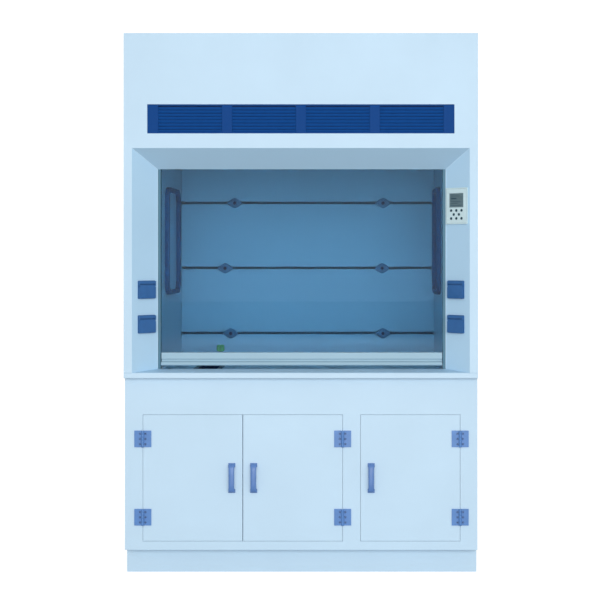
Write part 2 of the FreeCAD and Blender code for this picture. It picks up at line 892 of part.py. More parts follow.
def make_sink_trap():
    """A bottle trap under the cup, with its outlet pipe out through the back."""
    at = ("sink_x", "(sink_front + sink_rear) / 2")
    bottle = rod("trap_bottle", "z", "trap_radius", ("trap_bottom", "trap_top"), at)
    roof = "trap_top - 2 * drain_wall"
    inside = rod("trap_inside", "z", "trap_radius - 2 * drain_wall", ("trap_bottom + drain_wall", roof), at)
    inlet = rod("trap_inlet", "z", "drain_radius - drain_wall", through(roof, "trap_top"), at)
    pipe_at = ("sink_x", "trap_outlet_z")
    pipe_start = at[1] + " + trap_radius / 2"
    pipe = rod("trap_pipe", "y", "drain_pipe_radius", (pipe_start, BASE_REAR), pipe_at)
    spigot = rod("trap_spigot", "y", "drain_radius", (BASE_REAR, REAR), pipe_at)
    bore = rod("trap_pipe_bore", "y", "drain_radius - drain_wall", through(pipe_start, REAR), pipe_at)
    return node(cut("sink_trap", fuse("trap_solid", bottle, pipe, spigot), inside, inlet, bore))


def make_tap():
    """A bench tap: flange, column, low spout over the sink, and a supply pipe out through the back."""
    at = ("tap_x", "tap_y")
    flange = rod("tap_foot", "z", "tap_flange_radius", (DISH_TOP, DISH_TOP + " + tap_flange"), at)
    column = rod("tap_column", "z", "tap_column_radius", (DISH_TOP, "tap_top"), at)
    stem = rod("tap_stem", "z", "tap_stem_radius", ("tap_top", "tap_knob_top - tap_stem_inset"), at)
    shank = rod("tap_shank", "z", "tap_shank_radius", ("supply_z", DISH_TOP), at)
    supply_at = ("tap_x", "supply_z")
    supply_bend = elbow("supply_bend", "tap_shank_radius", "tap_x", "tap_y", "supply_z")
    supply_pipe = rod("supply_pipe", "y", "tap_shank_radius", ("tap_y", BASE_REAR), supply_at)
    supply_spigot = rod("supply_spigot", "y", "supply_radius", (BASE_REAR, REAR), supply_at)
    tip_y = "tap_y - spout_reach"
    spout = rod("tap_spout", "y", "spout_radius", (tip_y, "tap_y"), ("tap_x", "spout_z"))
    spout_bend = elbow("spout_bend", "spout_radius", "tap_x", tip_y, "spout_z")
    tip_at = ("tap_x", tip_y)
    drop = rod("tap_drop", "z", "spout_radius", ("spout_tip_z", "spout_z"), tip_at)
    solid = fuse("tap_solid", flange, column, stem, shank, supply_bend, supply_pipe, supply_spigot,
                 spout, spout_bend, drop)
    bores = (
        rod("tap_drop_bore", "z", "spout_bore", (short_of("spout_tip_z"), "spout_z"), tip_at),
        rod("tap_spout_bore", "y", "spout_bore", (tip_y, "tap_y"), ("tap_x", "spout_z")),
        rod("tap_shank_bore", "z", "spout_bore", ("supply_z", "spout_z"), at),
        rod("supply_bore", "y", "spout_bore", ("tap_y", beyond(REAR)), supply_at),
    )
    tap = cut("tap_casting", solid, *bores)
    nut_z = ("base_top - tap_nut", "base_top")
    nut_bore = rod("tap_nut_bore", "z", "tap_shank_radius", through(*nut_z), at)
    nut = cut("tap_nut_ring", rod("tap_nut_blank", "z", "tap_nut_radius", nut_z, at), nut_bore)
    node(group("tap_body", tap, nut))


def make_tap_knob():
    """A round knob with a waist, on the tap's stem."""
    height = "tap_knob_top - tap_knob_bottom"
    bore = "tap_stem_radius + knob_play"
    roof = height + " - tap_stem_inset + knob_roof_gap"
    corners = [
        (bore, "0"),
        ("tap_knob_radius - tap_knob_slope", "0"),
        ("tap_knob_radius", "tap_knob_slope"),
        ("tap_knob_radius", height + " - tap_knob_crown"),
        ("tap_knob_radius - tap_knob_crown", height),
        ("0", height),
        ("0", roof),
        (bore, roof),
    ]
    return node(place(turned("tap_knob", corners), "tap_x", "tap_y", "tap_knob_bottom"))


# --- Upper cabinet ---

def make_outer_sides():
    side = box("outer_side_right", ("half_width - sheet", "half_width"), (FASCIA_REAR, BACK_FRONT),
               (WORKTOP_TOP, "cabinet_top"))
    return node(pair("outer_sides", side))


def splay(level):
    """Half the width and the top of the splayed opening, at a depth behind the front."""
    share = "(%s) / surround_depth" % level
    half = "opening_half + (throat_half - opening_half) * %s" % share
    top = "opening_top + (throat_top - opening_top) * %s" % share
    return half, top


def make_front_fascia():
    """The front sheet, with the splayed opening and the louvre's window cut through it."""
    blank = box("fascia_blank", centred("half_width"), (FRONT, FASCIA_REAR), (WORKTOP_TOP, "cabinet_top"))
    body = new_body("fascia_opening")
    front_half, front_top = splay("0")
    rear_half, rear_top = splay("sheet")
    floor = WORKTOP_TOP
    near = outline(body, "fascia_opening_front", "xz", FRONT,
                   rectangle(centred(front_half), (floor, front_top)))
    far = outline(body, "fascia_opening_rear", "xz", FASCIA_REAR,
                  rectangle(centred(rear_half), (floor, rear_top)))
    loft_between(body, "fascia_opening", near, far)
    window = box("fascia_window", centred("louvre_half"), through(FRONT, FASCIA_REAR),
                 ("louvre_bottom", "louvre_top"))
    return node(cut("front_fascia", blank, body, window))


def make_top_panel():
    z = (ROOF_BOTTOM, "cabinet_top")
    blank = box("top_panel_blank", centred("half_width - sheet"), (FASCIA_REAR, BACK_FRONT), z)
    hole = rod("top_panel_hole", "z", "collar_radius", through(*z), ("0", "collar_y"))
    return node(cut("top_panel", blank, hole))


def slant_turn(side):
    """The turn from the front to the splayed side panel: side is +1 on the right."""
    angle = math.degrees(math.atan2(number("opening_half - throat_half"), number("surround_depth")))
    return FreeCAD.Rotation(V(0, 0, 1), -side * (90 - angle))


def slant_place(side, z="0"):
    """The middle of a splayed side panel's face: local +X runs along it and +Y into it."""
    middle_x = "%d * (opening_half + throat_half) / 2" % side
    middle_y = "surround_depth / 2 - half_depth"
    return FreeCAD.Placement(V(number(middle_x), number(middle_y), number(z)), slant_turn(side))


def loft_between(body, label, near, far):
    """Join two outlines with flat faces."""
    loft = body.newObject("PartDesign::AdditiveLoft", label + "_loft")
    loft.Profile = near
    loft.Sections = [far]
    loft.Ruled = True
    return body


def splayed_panel(label, corners_at):
    """A panel from the fascia back to the throat, by the corners that it has at each depth."""
    body = new_body(label)
    near = outline(body, label + "_near", "xz", FASCIA_REAR, corners_at(*splay("sheet")))
    far = outline(body, label + "_far", "xz", THROAT_Y, corners_at(*splay("surround_depth")))
    return loft_between(body, label, near, far)


def thickness_over(setback):
    """A splayed panel's thickness, measured square to the cabinet instead of to the panel."""
    return "surround_sheet * sqrt(pow(%s; 2) + pow(surround_depth; 2)) / surround_depth" % setback


SIDE_THICKNESS = thickness_over("opening_half - throat_half")
HEAD_THICKNESS = thickness_over("opening_top - throat_top")


def side_panel(label, side):
    """A splayed side panel, mitred where it meets the top one."""
    def corners_at(half, top):
        inner = "%d * (%s)" % (side, half)
        outer = "%d * (%s + %s)" % (side, half, SIDE_THICKNESS)
        outer_top = "%s + %s" % (top, HEAD_THICKNESS)
        return [(inner, WORKTOP_TOP), (inner, top), (outer, outer_top), (outer, WORKTOP_TOP)]
    return splayed_panel(label, corners_at)


def head_panel(label):
    """The splayed panel over the opening."""
    def corners_at(half, top):
        outer = "%s + %s" % (half, SIDE_THICKNESS)
        outer_top = "%s + %s" % (top, HEAD_THICKNESS)
        return [("-(%s)" % half, top), (half, top), (outer, outer_top), ("-(%s)" % outer, outer_top)]
    return splayed_panel(label, corners_at)


def sill_panel(label):
    """A sill that slopes up from the worktop's front edge to the throat."""
    body = new_body(label)
    front_half, _ = splay("sill_setback")
    front_z = (WORKTOP_TOP, WORKTOP_TOP + " + sill_edge")
    rear_z = (WORKTOP_TOP, WORKTOP_TOP + " + sill_rise")
    near_y = FRONT + " + sill_setback"
    near = outline(body, label + "_near", "xz", near_y, rectangle(centred(front_half), front_z))
    far = outline(body, label + "_far", "xz", THROAT_Y, rectangle(centred("throat_half"), rear_z))
    return loft_between(body, label, near, far)


def slant_box(label, side, x, y, z):
    """A block set square to a splayed side panel, in the panel's own frame."""
    solid = doc.addObject("Part::Box", label)
    for name, (low, high) in zip(("Length", "Width", "Height"), (x, y, z)):
        solid.setExpression(name, bound("(%s) - (%s)" % (high, low)))
    corner = V(number(x[0]), number(y[0]), number(z[0]))
    solid.Placement = slant_place(side).multiply(FreeCAD.Placement(corner, FreeCAD.Rotation()))
    return solid


def slant_hole(label, side, x, z):
    """A square-cut hole through a splayed side panel, for a box that stands behind it."""
    return slant_box(label, side, x, centred("2 * surround_sheet"), z)


SOCKET_LEVELS = {"high": "socket_high_z", "low": "socket_low_z"}
SIDES = {"right": 1, "left": -1}


def make_surround_panels():
    """The three panels and the sill that lead in from the fascia to the sash."""
    panels = [head_panel("surround_head"), sill_panel("surround_sill")]
    for name, side in SIDES.items():
        blank = side_panel("surround_%s_blank" % name, side)
        tools = []
        socket_half = "socket_box_half + fit_play"
        for level, middle in SOCKET_LEVELS.items():
            hole_x = centred(socket_half, "%d * socket_inset" % -side)
            tools.append(slant_hole("%s_%s_socket_hole" % (name, level), side, hole_x,
                                    centred(socket_half, middle)))
        if name == "right":
            inset = "controller_box_inset - fit_play"
            z = ("controller_bottom + %s" % inset, "controller_top - (%s)" % inset)
            x = centred("controller_box_half + fit_play", "controller_shift")
            tools.append(slant_hole("controller_hole", side, x, z))
        panels.append(cut("surround_" + name, blank, *tools))
    return node(group("surround_panels", *panels))


SLATS = 8


def make_bypass_louvre():
    """A grille of tilted slats between posts, which lets air in when the sash is down."""
    front = FRONT + " + louvre_recess"
    rear = front + " + louvre_depth"
    rail_x = centred("louvre_half")
    y = (front, rear)
    z = ("louvre_bottom", "louvre_top")
    end_x = ("louvre_half - louvre_rail", "louvre_half")
    bits = [
        box("louvre_top_rail", rail_x, y, ("louvre_top - louvre_rail", "louvre_top")),
        box("louvre_bottom_rail", rail_x, y, ("louvre_bottom", "louvre_bottom + louvre_rail")),
        box("louvre_end_left", opposite(end_x), y, z),
        box("louvre_end_right", end_x, y, z),
    ]
    for number_from_left, index in enumerate((-2, -1, 0, 1, 2), start=1):
        middle = "%d * louvre_post_pitch" % index
        bits.append(box("louvre_post_%d" % number_from_left, centred("louvre_post_width / 2", middle), y, z))
    tilt = FreeCAD.Rotation(V(1, 0, 0), -number("slat_tilt"))
    pitch = "(louvre_top - louvre_bottom - 2 * louvre_rail) / %d" % SLATS
    for index in range(SLATS):
        slat = doc.addObject("Part::Box", "louvre_slat_%d" % (index + 1))
        slat.setExpression("Length", bound("2 * louvre_half - 2 * slat_end_inset"))
        slat.setExpression("Width", bound("slat_depth"))
        slat.setExpression("Height", bound("slat_thickness"))
        bits.append(place(slat, "slat_end_inset - louvre_half", front + " + slat_setback",
                          "louvre_bottom + louvre_rail + (%d + slat_share) * %s" % (index, pitch), tilt))
    return node(fuse("bypass_louvre", *bits))


def make_exhaust_collar():
    """A spigot for the exhaust duct, welded through the ceiling and the top panel."""
    height = "cabinet_top + collar_rise - ceiling_z"
    seat = "cabinet_top - ceiling_z"
    corners = [
        ("collar_radius - collar_wall", "0"),
        ("collar_radius", "0"),
        ("collar_radius", seat),
        ("collar_flange_radius", seat),
        ("collar_flange_radius", seat + " + collar_flange"),
        ("collar_radius", seat + " + collar_flange"),
        ("collar_radius", height),
        ("collar_radius - collar_wall", height),
    ]
    return node(place(turned("exhaust_collar", corners), "0", "collar_y", "ceiling_z"))


def make_cable_gland():
    """A gland through the back panel for the supply cable."""
    corners = [
        ("gland_bore", "-(sheet + gland_nut)"),
        ("gland_nut_radius", "-(sheet + gland_nut)"),
        ("gland_nut_radius", "-sheet"),
        ("gland_radius", "-sheet"),
        ("gland_radius", "0"),
        ("gland_bore", "0"),
    ]
    turn = FreeCAD.Rotation(V(1, 0, 0), -90)
    return node(place(turned("cable_gland", corners), "gland_x", REAR, "gland_z", turn))


# --- Chamber ---

def hatch_panel(label, span, inset):
    """A rounded panel as large as the hatch's seal, less an inset all round."""
    y = ("hatch_front + %s" % inset, "hatch_rear - (%s)" % inset)
    z = ("hatch_bottom + %s" % inset, "hatch_top - (%s)" % inset)
    return rounded_panel(label, span, y, z, "hatch_radius - (%s)" % inset)


def make_liner_sides():
    """The chamber's side walls, each with a hatch opening to the pipes behind it."""
    wall = box("liner_blank", ("liner_x", LINER_OUTER), (GUIDE_REAR, BACK_FRONT), (WORKTOP_TOP, "ceiling_z"))
    opening = hatch_panel("liner_opening", through("liner_x", LINER_OUTER), "hatch_lap")
    return node(pair("liner_sides", cut("liner_right", wall, opening)))


def make_hatch_covers():
    cover = hatch_panel("hatch_cover_right", ("liner_x", LINER_OUTER), "hatch_lap + hatch_clearance")
    return node(pair("hatch_covers", cover))


def make_hatch_seals():
    """A ring of blue seal over the joint between each hatch cover and its wall."""
    span = ("liner_x - seal_rise", "liner_x")
    outer = hatch_panel("seal_blank", span, "0")
    inner = hatch_panel("seal_window", through(*span), "seal_width")
    return node(pair("hatch_seals", cut("seal_right", outer, inner)))


def make_liner_ceiling():
    z = ("ceiling_z", "ceiling_z + liner_sheet")
    blank = box("ceiling_blank", centred(LINER_OUTER), (GUIDE_REAR, BACK_FRONT), z)
    lamp = box("ceiling_lamp_opening", centred("lamp_half_length - lamp_opening_inset"),
               centred("lamp_half_width - lamp_opening_inset"), through(*z))
    duct = rod("ceiling_duct_hole", "z", "collar_radius", through(*z), ("0", "collar_y"))
    return node(cut("liner_ceiling", blank, lamp, duct))


def make_lamp():
    """A sealed lamp: a housing above the ceiling, and a clear cover below it."""
    bottom = "ceiling_z + liner_sheet"
    top = bottom + " + lamp_height"
    outer = box("lamp_blank", centred("lamp_half_length"), centred("lamp_half_width"), (bottom, top))
    hollow_x = centred("lamp_half_length - lamp_wall")
    hollow_y = centred("lamp_half_width - lamp_wall")
    inner = box("lamp_hollow", hollow_x, hollow_y, (short_of(bottom), top + " - lamp_wall"))
    node(cut("lamp_housing", outer, inner))
    node(box("lamp_cover", centred("lamp_half_length"), centred("lamp_half_width"),
             ("ceiling_z - lamp_cover", "ceiling_z")))


SLOTS = ("low_slot_z", "middle_slot_z", "high_slot_z")


def make_baffle_plates():
    """Four plates in front of the exhaust plenum, with a slot between each two."""
    edges = ["baffle_bottom"]
    for slot in SLOTS:
        edges += [slot + " - slot_height / 2", slot + " + slot_height / 2"]
    edges.append("baffle_top")
    plates = []
    for index in range(0, len(edges), 2):
        plates.append(box("baffle_plate_%d" % (index // 2 + 1), centred("baffle_half"),
                          ("baffle_y", "baffle_y + baffle_sheet"), (edges[index], edges[index + 1])))
    return node(group("baffle_plates", *plates))


# The knobs are clamped where the user set them, so no two pairs stand quite alike.
KNOB_SPOTS = (
    ("low_slot_z", -368),
    ("low_slot_z", 359),
    ("middle_slot_z", -395),
    ("middle_slot_z", 355),
    ("high_slot_z", -349),
    ("high_slot_z", 359),
)


def make_baffle_knobs():
    """Clamp knobs: a two-winged grip with a boss, a stud through the slot and a washer behind."""
    corners = [
        ("0", "-(baffle_sheet + stud_washer)"),
        ("stud_washer_radius", "-(baffle_sheet + stud_washer)"),
        ("stud_washer_radius", "-baffle_sheet"),
        ("stud_radius", "-baffle_sheet"),
        ("stud_radius", "0"),
        ("knob_boss_radius", "0"),
        ("knob_boss_radius", "knob_height"),
        ("knob_socket_radius", "knob_height"),
        ("knob_socket_radius", "knob_height - knob_socket_depth"),
        ("0", "knob_height - knob_socket_depth"),
    ]
    wings = [
        ("knob_half_width", "0"),
        ("0", "knob_half_height"),
        ("-knob_half_width", "0"),
        ("0", "-knob_half_height"),
    ]
    face_user = FreeCAD.Rotation(V(1, 0, 0), 90)
    knobs = []
    for index, (slot, x) in enumerate(KNOB_SPOTS, start=1):
        label = "baffle_knob_%d" % index
        grip = block(label + "_wings", "xy", ("0", "knob_wing_height"), wings)
        soften(grip, label + "_tips", "knob_tip_radius", along(V(0, 0, 1)))
        knob = fuse(label, turned(label + "_boss", corners), grip)
        knobs.append(place(knob, x, "baffle_y", slot + " - knob_drop", face_user))
    return node(group("baffle_knobs", *knobs))


# --- Sash, guides, pulleys and counterweights ---

def make_sash_guides():
    """Channels with a narrow mouth for the glass and a wide inside for the shoes."""
    inner = "guide_mouth_x"
    front, rear = centred("guide_half_depth", "glass_y")
    lip_front, lip_rear = centred("guide_mouth / 2", "glass_y")
    cavity_x = ("guide_mouth_x + guide_lip", "guide_outer_x - guide_wall")
    cavity_y = (front + " + guide_wall", rear + " - guide_wall")
    corners = [
        (inner, front),
        ("guide_outer_x", front),
        ("guide_outer_x", rear),
        (inner, rear),
        (inner, lip_rear),
        (cavity_x[0], lip_rear),
        (cavity_x[0], cavity_y[1]),
        (cavity_x[1], cavity_y[1]),
        (cavity_x[1], cavity_y[0]),
        (cavity_x[0], cavity_y[0]),
        (cavity_x[0], lip_front),
        (inner, lip_front),
    ]
    guide = block("sash_guide_right", "xy", (WORKTOP_TOP, "guide_top"), corners)
    return node(pair("sash_guides", guide))


def make_sash_stops():
    """Rubber buffers: one under each bottom shoe, and one that it meets at the top of its travel."""
    y = centred("stop_half_depth", "glass_y")
    x = ("guide_mouth_x + guide_lip", "guide_outer_x - guide_wall")
    low = box("low_stop", x, y, (WORKTOP_TOP, "low_shoe_z - stop_clearance"))
    beside_glass = ("glass_half + stop_glass_gap", x[1])
    meets = "low_shoe_z + shoe_height + sash_travel + stop_clearance"
    high = box("high_stop", beside_glass, y, (meets, meets + " + stop_height"))
    return node(group("sash_stops", low, mirrored(low), high, mirrored(high)))


def make_sash():
    """The sliding pane, its bottom rail with a finger groove, and four shoes on its edges."""
    glass_y = centred("glass_thickness / 2", "glass_y")
    node(box("sash_glass", centred("glass_half"), glass_y, ("glass_bottom", "glass_top")))
    rear = "glass_y + rail_rear"
    face = "glass_y - rail_face"
    nose = "glass_y - rail_nose"
    groove = "glass_y - rail_groove"
    corners = [
        (rear, "rail_bottom"),
        (nose + " + nose_chamfer", "rail_bottom"),
        (nose, "rail_bottom + nose_chamfer"),
        (nose, "rail_bottom + nose_height"),
        (nose + " + nose_slope", "rail_bottom + nose_slope_top"),
        (groove, "rail_bottom + groove_bottom"),
        (groove, "rail_bottom + groove_top"),
        (face, "rail_bottom + face_bottom"),
        (face, "rail_top"),
        (glass_y[0], "rail_top"),
        (glass_y[0], "glass_bottom"),
        (glass_y[1], "glass_bottom"),
        (glass_y[1], "rail_top"),
        (rear, "rail_top"),
    ]
    rail = block("sash_rail", "yz", centred("rail_half"), corners)
    node(rail)
    shoes = []
    for name, bottom in (("low", "low_shoe_z"), ("high", "high_shoe_z")):
        z = (bottom, bottom + " + shoe_height")
        blank = box(name + "_shoe_blank", ("shoe_inner_x", "shoe_outer_x"),
                    centred("shoe_half_depth", "glass_y"), z)
        groove_z = through(*z)
        if name == "low":
            groove_z = ("glass_bottom", beyond(z[1]))
        slot = box(name + "_shoe_slot", (short_of("shoe_inner_x"), "glass_half"), glass_y, groove_z)
        shoe = cut(name + "_shoe_right", blank, slot)
        shoes += [shoe, mirrored(shoe)]
    node(group("sash_shoes", *shoes))


def make_sash_pulleys():
    """Two grooved pulleys on one shaft, which keeps both sides of the sash level."""
    groove = "pulley_pitch_radius - cable_radius - groove_clearance"
    half = "pulley_half_width"
    floor = "cable_radius + groove_clearance"
    corners = [
        ("shaft_radius", "-(%s)" % half),
        ("pulley_rim_radius", "-(%s)" % half),
        ("pulley_rim_radius", "-(%s + groove_flare)" % floor),
        (groove, "-(%s)" % floor),
        (groove, floor),
        ("pulley_rim_radius", floor + " + groove_flare"),
        ("pulley_rim_radius", half),
        ("shaft_radius", half),
    ]
    pulley = place(turned("pulley_right", corners), "cable_x", PULLEY_Y, "pulley_z", AXIS_TURNS["x"])
    shaft = rod("pulley_shaft", "x", "shaft_radius", centred("shaft_half_length"), (PULLEY_Y, "pulley_z"))
    return node(group("sash_pulleys", pulley, mirrored(pulley), shaft))


def make_pulley_brackets():
    """A bracket under the top panel at each side, with a bearing plate either side of the pulley."""
    y = centred("bracket_half_depth", PULLEY_Y)
    blank = box("bracket_blank", ("bracket_inner_x", "bracket_outer_x"), y, ("bracket_bottom", ROOF_BOTTOM))
    gap = box("bracket_gap", ("bracket_inner_x + bracket_plate", "bracket_outer_x - bracket_plate"),
              through(*y), (short_of("bracket_bottom"), ROOF_BOTTOM + " - bracket_plate"))
    bearing = rod("bracket_bearing", "x", "shaft_radius + shaft_clearance",
                  through("bracket_inner_x", "bracket_outer_x"), (PULLEY_Y, "pulley_z"))
    return node(pair("pulley_brackets", cut("pulley_bracket_right", blank, gap, bearing)))


def make_sash_cables():
    """A steel cable each side, from the high shoe over the pulley and down to the counterweight."""
    rise = rod("cable_rise", "z", "cable_radius", ("high_shoe_z + shoe_height", "pulley_z"),
               ("cable_x", "glass_y"))
    fall = rod("cable_fall", "z", "cable_radius", ("weight_top", "pulley_z"), ("cable_x", WEIGHT_Y))
    bend = doc.addObject("Part::Torus", "cable_bend")
    bend.setExpression("Radius1", bound("pulley_pitch_radius"))
    bend.setExpression("Radius2", bound("cable_radius"))
    bend.Angle3 = 180
    stand_up = FreeCAD.Rotation(V(0, 0, 1), V(1, 0, 0)).multiply(FreeCAD.Rotation(V(0, 0, 1), 90))
    place(bend, "cable_x", PULLEY_Y, "pulley_z", stand_up)
    return node(pair("sash_cables", fuse("cable_right", rise, bend, fall)))


def make_counterweights():
    """Steel bars behind the side walls that balance the sash."""
    weight = box("counterweight_right", centred("weight_half_width", "cable_x"),
                 centred("weight_half_depth", WEIGHT_Y), ("weight_top - weight_height", "weight_top"))
    return node(pair("counterweights", weight))


# --- Controller and sockets on the splayed side panels ---

KEY_ROWS = ((-1, 0, 1), (-0.5, 0.5), (-1, 0, 1))


def key_spots():
    """Each key's place across the panel and its height, row by row from the top."""
    spots = []
    for row, columns in enumerate(KEY_ROWS):
        for column in columns:
            x = "controller_shift + %s * key_pitch" % column
            spots.append((x, "key_top_row_z - %d * key_row_pitch" % row))
    return spots


def make_controller():
    """The controller's front plate and box, with a window for the display and pockets for the keys."""
    z = ("controller_bottom", "controller_top")
    body = block("controller_blank", "xz", ("-controller_rise", "0"),
                 rectangle(centred("controller_half_width", "controller_shift"), z))
    soften(body, "controller_corners", "controller_radius", along(V(0, 1, 0)))
    box_z = (z[0] + " + controller_box_inset", z[1] + " - controller_box_inset")
    pad(body, "controller_box", "xz", ("0", "controller_box_depth"),
        rectangle(centred("controller_box_half", "controller_shift"), box_z))
    pocket(body, "display_window", "xz", ("-controller_rise", "display_glass - controller_rise"),
           rectangle(centred("display_half_width", "controller_shift"), ("display_bottom", "display_top")))
    tools = []
    pocket_y = (short_of("-controller_rise"), "key_pocket - controller_rise")
    for index, spot in enumerate(key_spots(), start=1):
        tools.append(rod("key_pocket_%d" % index, "y", "key_radius + key_clearance", pocket_y, spot))
    panel = cut("controller_panel", body, *tools)
    panel.Placement = slant_place(1)
    node(panel)
    node(slant_box("controller_screen", 1,
                   centred("display_half_width - fit_play", "controller_shift"),
                   ("display_setback - controller_rise", "display_glass - controller_rise"),
                   ("display_bottom + fit_play", "display_top - fit_play")))


def make_keys():
    """Eight round keys, each free to travel into its pocket."""
    for index, (x, z) in enumerate(key_spots(), start=1):
        corners = [
            ("0", "0"),
            ("key_radius", "0"),
            ("key_radius", "key_depth + key_rise - key_chamfer"),
            ("key_radius - key_chamfer", "key_depth + key_rise"),
            ("0", "key_depth + key_rise"),
        ]
        key = turned("key_%d" % index, corners)
        spot = V(number(x), number("key_depth - controller_rise"), number(z))
        face_user = FreeCAD.Placement(spot, FreeCAD.Rotation(V(1, 0, 0), 90))
        key.Placement = slant_place(1).multiply(face_user)
        node(key)


def lid_levels(middle):
    """The lid's top edge and its pivot, both from the socket's middle height."""
    top = "%s + socket_height / 2 - socket_hinge_height" % middle
    return top, top + " - lid_pin_drop"


LID_MIDDLE_Y = "-(socket_lid_rise + socket_plate + socket_lid_gap) / 2"
LID_HALF = "socket_half_width - lid_margin"

# Each contact's hole: its place across the outlet, and its height over the outlet's middle.
OUTLET_HOLES = {
    "left": ("-outlet_hole_spread", "-outlet_hole_drop"),
    "right": ("outlet_hole_spread", "-outlet_hole_drop"),
    "earth": ("0", "outlet_hole_spread"),
}


def socket_place(side):
    """A splayed panel's own frame, moved along the panel towards the sash."""
    along_panel = FreeCAD.Placement(V(-side * number("socket_inset"), 0, 0), FreeCAD.Rotation())
    return slant_place(side).multiply(along_panel)


def socket_plate(label, side, middle):
    """A socket: front plate, hinge block with cheeks and pin, box behind, and the outlet."""
    top = "%s + socket_height / 2" % middle
    lid_top, pivot_z = lid_levels(middle)
    z = ("%s - socket_height / 2" % middle, top)
    proud = ("-socket_lid_rise", "-socket_plate")
    moulding_outline = rectangle(centred("socket_half_width"), z)
    body = block(label + "_moulding", "xz", ("-socket_plate", "0"), moulding_outline)
    soften(body, label + "_corners", "socket_radius", along(V(0, 1, 0)))
    block_z = (lid_top + " + socket_block_gap", top + " - socket_block_margin")
    pad(body, label + "_hinge_block", "xz", proud, rectangle(centred(LID_HALF), block_z))
    cheek_z = (pivot_z + " - lid_cheek_drop", block_z[0])
    cheek_x = (LID_HALF + " - socket_cheek + lid_barrel_gap", LID_HALF)
    pad(body, label + "_cheek_right", "xz", proud, rectangle(cheek_x, cheek_z))
    pad(body, label + "_cheek_left", "xz", proud, rectangle(opposite(cheek_x), cheek_z))
    pad(body, label + "_box", "xz", ("0", "socket_box_depth"),
        rectangle(centred("socket_box_half"), centred("socket_box_half", middle)))
    outlet_middle = "%s - socket_hinge_height / 2 - socket_insert_drop" % middle
    outlet_front = "-socket_plate - socket_insert_rise"
    pad(body, label + "_outlet", "xz", (outlet_front, "-socket_plate"),
        rectangle(centred("socket_insert_half"), centred("socket_insert_half", outlet_middle)))
    for name, (x, rise) in OUTLET_HOLES.items():
        hole_x = centred("outlet_hole_half_width", x)
        hole_z = centred("outlet_hole_half_height", "%s + (%s)" % (outlet_middle, rise))
        pocket(body, "%s_%s_hole" % (label, name), "xz", (outlet_front, "outlet_hole_depth"),
               rectangle(hole_x, hole_z))
    pin = rod(label + "_pin", "x", "lid_pin_radius", centred(LID_HALF + " - lid_pin_inset"),
              (LID_MIDDLE_Y, pivot_z))
    plate = fuse(label, body, pin)
    plate.Placement = socket_place(side)
    return plate


def make_sockets():
    plates = []
    for name, side in SIDES.items():
        for level, z in SOCKET_LEVELS.items():
            plates.append(socket_plate("socket_%s_%s" % (level, name), side, z))
    return node(group("socket_plates", *plates))


def make_lid(level, name, side):
    """A flip lid: a shallow shell whose barrel turns on the pin between the cheeks."""
    middle = SOCKET_LEVELS[level]
    label = "socket_lid_%s_%s" % (level, name)
    lid_top, pivot_z = lid_levels(middle)
    low = "%s - socket_height / 2 + lid_margin" % middle
    shoulder = lid_top + " - lid_barrel_height"
    rear = "-socket_plate - socket_lid_gap"
    span = ("-socket_lid_rise", rear)
    body = block(label + "_shell", "xz", span, rectangle(centred(LID_HALF), (low, shoulder)))
    corner_top = number(low + " + lid_corner_zone")
    soften(body, label + "_corners", "socket_radius", along(V(0, 1, 0), lambda at: at.z < corner_top))
    inner = rectangle(centred(LID_HALF + " - socket_lid_wall"),
                      (low + " + socket_lid_wall", shoulder + " - socket_lid_wall"))
    hollow = body.newObject("PartDesign::Pocket", label + "_hollow")
    hollow.Profile = outline(body, label + "_hollow_outline", "xz", rear, inner)
    hollow.setExpression("Length", bound("socket_lid_rise - socket_plate - socket_lid_gap - socket_lid_wall"))
    hollow.Reversed = True
    pad(body, label + "_barrel", "xz", span,
        rectangle(centred(LID_HALF + " - socket_cheek"), (shoulder, lid_top)))
    bore = rod(label + "_bore", "x", "lid_pin_radius + lid_pin_clearance", centred("socket_half_width"),
               (LID_MIDDLE_Y, pivot_z))
    lid = cut(label, body, bore)
    lid.Placement = socket_place(side)
    return node(lid)


# --- The whole cupboard ---

def build():
    fill_sheet()
    make_plinth()
    make_base_floor()
    make_base_uprights()
    make_face_frame()
    make_shelves()
    make_back_panels()
    for name in DOORS:
        make_door(name)
        make_handle(name)
    make_hinges()
    make_worktop()
    make_cup_sink()
    make_sink_trap()
    make_tap()
    make_tap_knob()
    make_outer_sides()
    make_front_fascia()
    make_top_panel()
    make_surround_panels()
    make_bypass_louvre()
    make_exhaust_collar()
    make_cable_gland()
    make_liner_sides()
    make_hatch_covers()
    make_hatch_seals()
    make_liner_ceiling()
    make_lamp()
    make_baffle_plates()
    make_baffle_knobs()
    make_sash_guides()
    make_sash_stops()
    make_sash()
    make_sash_pulleys()
    make_pulley_brackets()
    make_sash_cables()
    make_counterweights()
    make_controller()
    make_keys()
    make_sockets()
    for name, side in SIDES.items():
        for level in SOCKET_LEVELS:
            make_lid(level, name, side)
    doc.recompute()


def check():
    """Stop if any object failed, or any sub-part's shape is empty or not valid."""
    for item in doc.Objects:
        if "Invalid" in item.State or "Error" in item.State:
            raise RuntimeError("%s failed: %s" % (item.Label, item.State))
    for piece in nodes:
        if piece.Shape.isNull() or not piece.Shape.isValid() or not piece.Shape.Solids:
            raise RuntimeError("%s has no valid solid" % piece.Label)


def export():
    os.makedirs("parts", exist_ok=True)
    for piece in nodes:
        piece.Shape.exportStep(os.path.join("parts", piece.Label + ".step"))
        print("%-24s %3d solids %12.0f mm3" % (piece.Label, len(piece.Shape.Solids), piece.Shape.Volume))


build()
check()
export()
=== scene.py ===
import json
import math

import bmesh
import bpy
from mathutils import Matrix, Vector


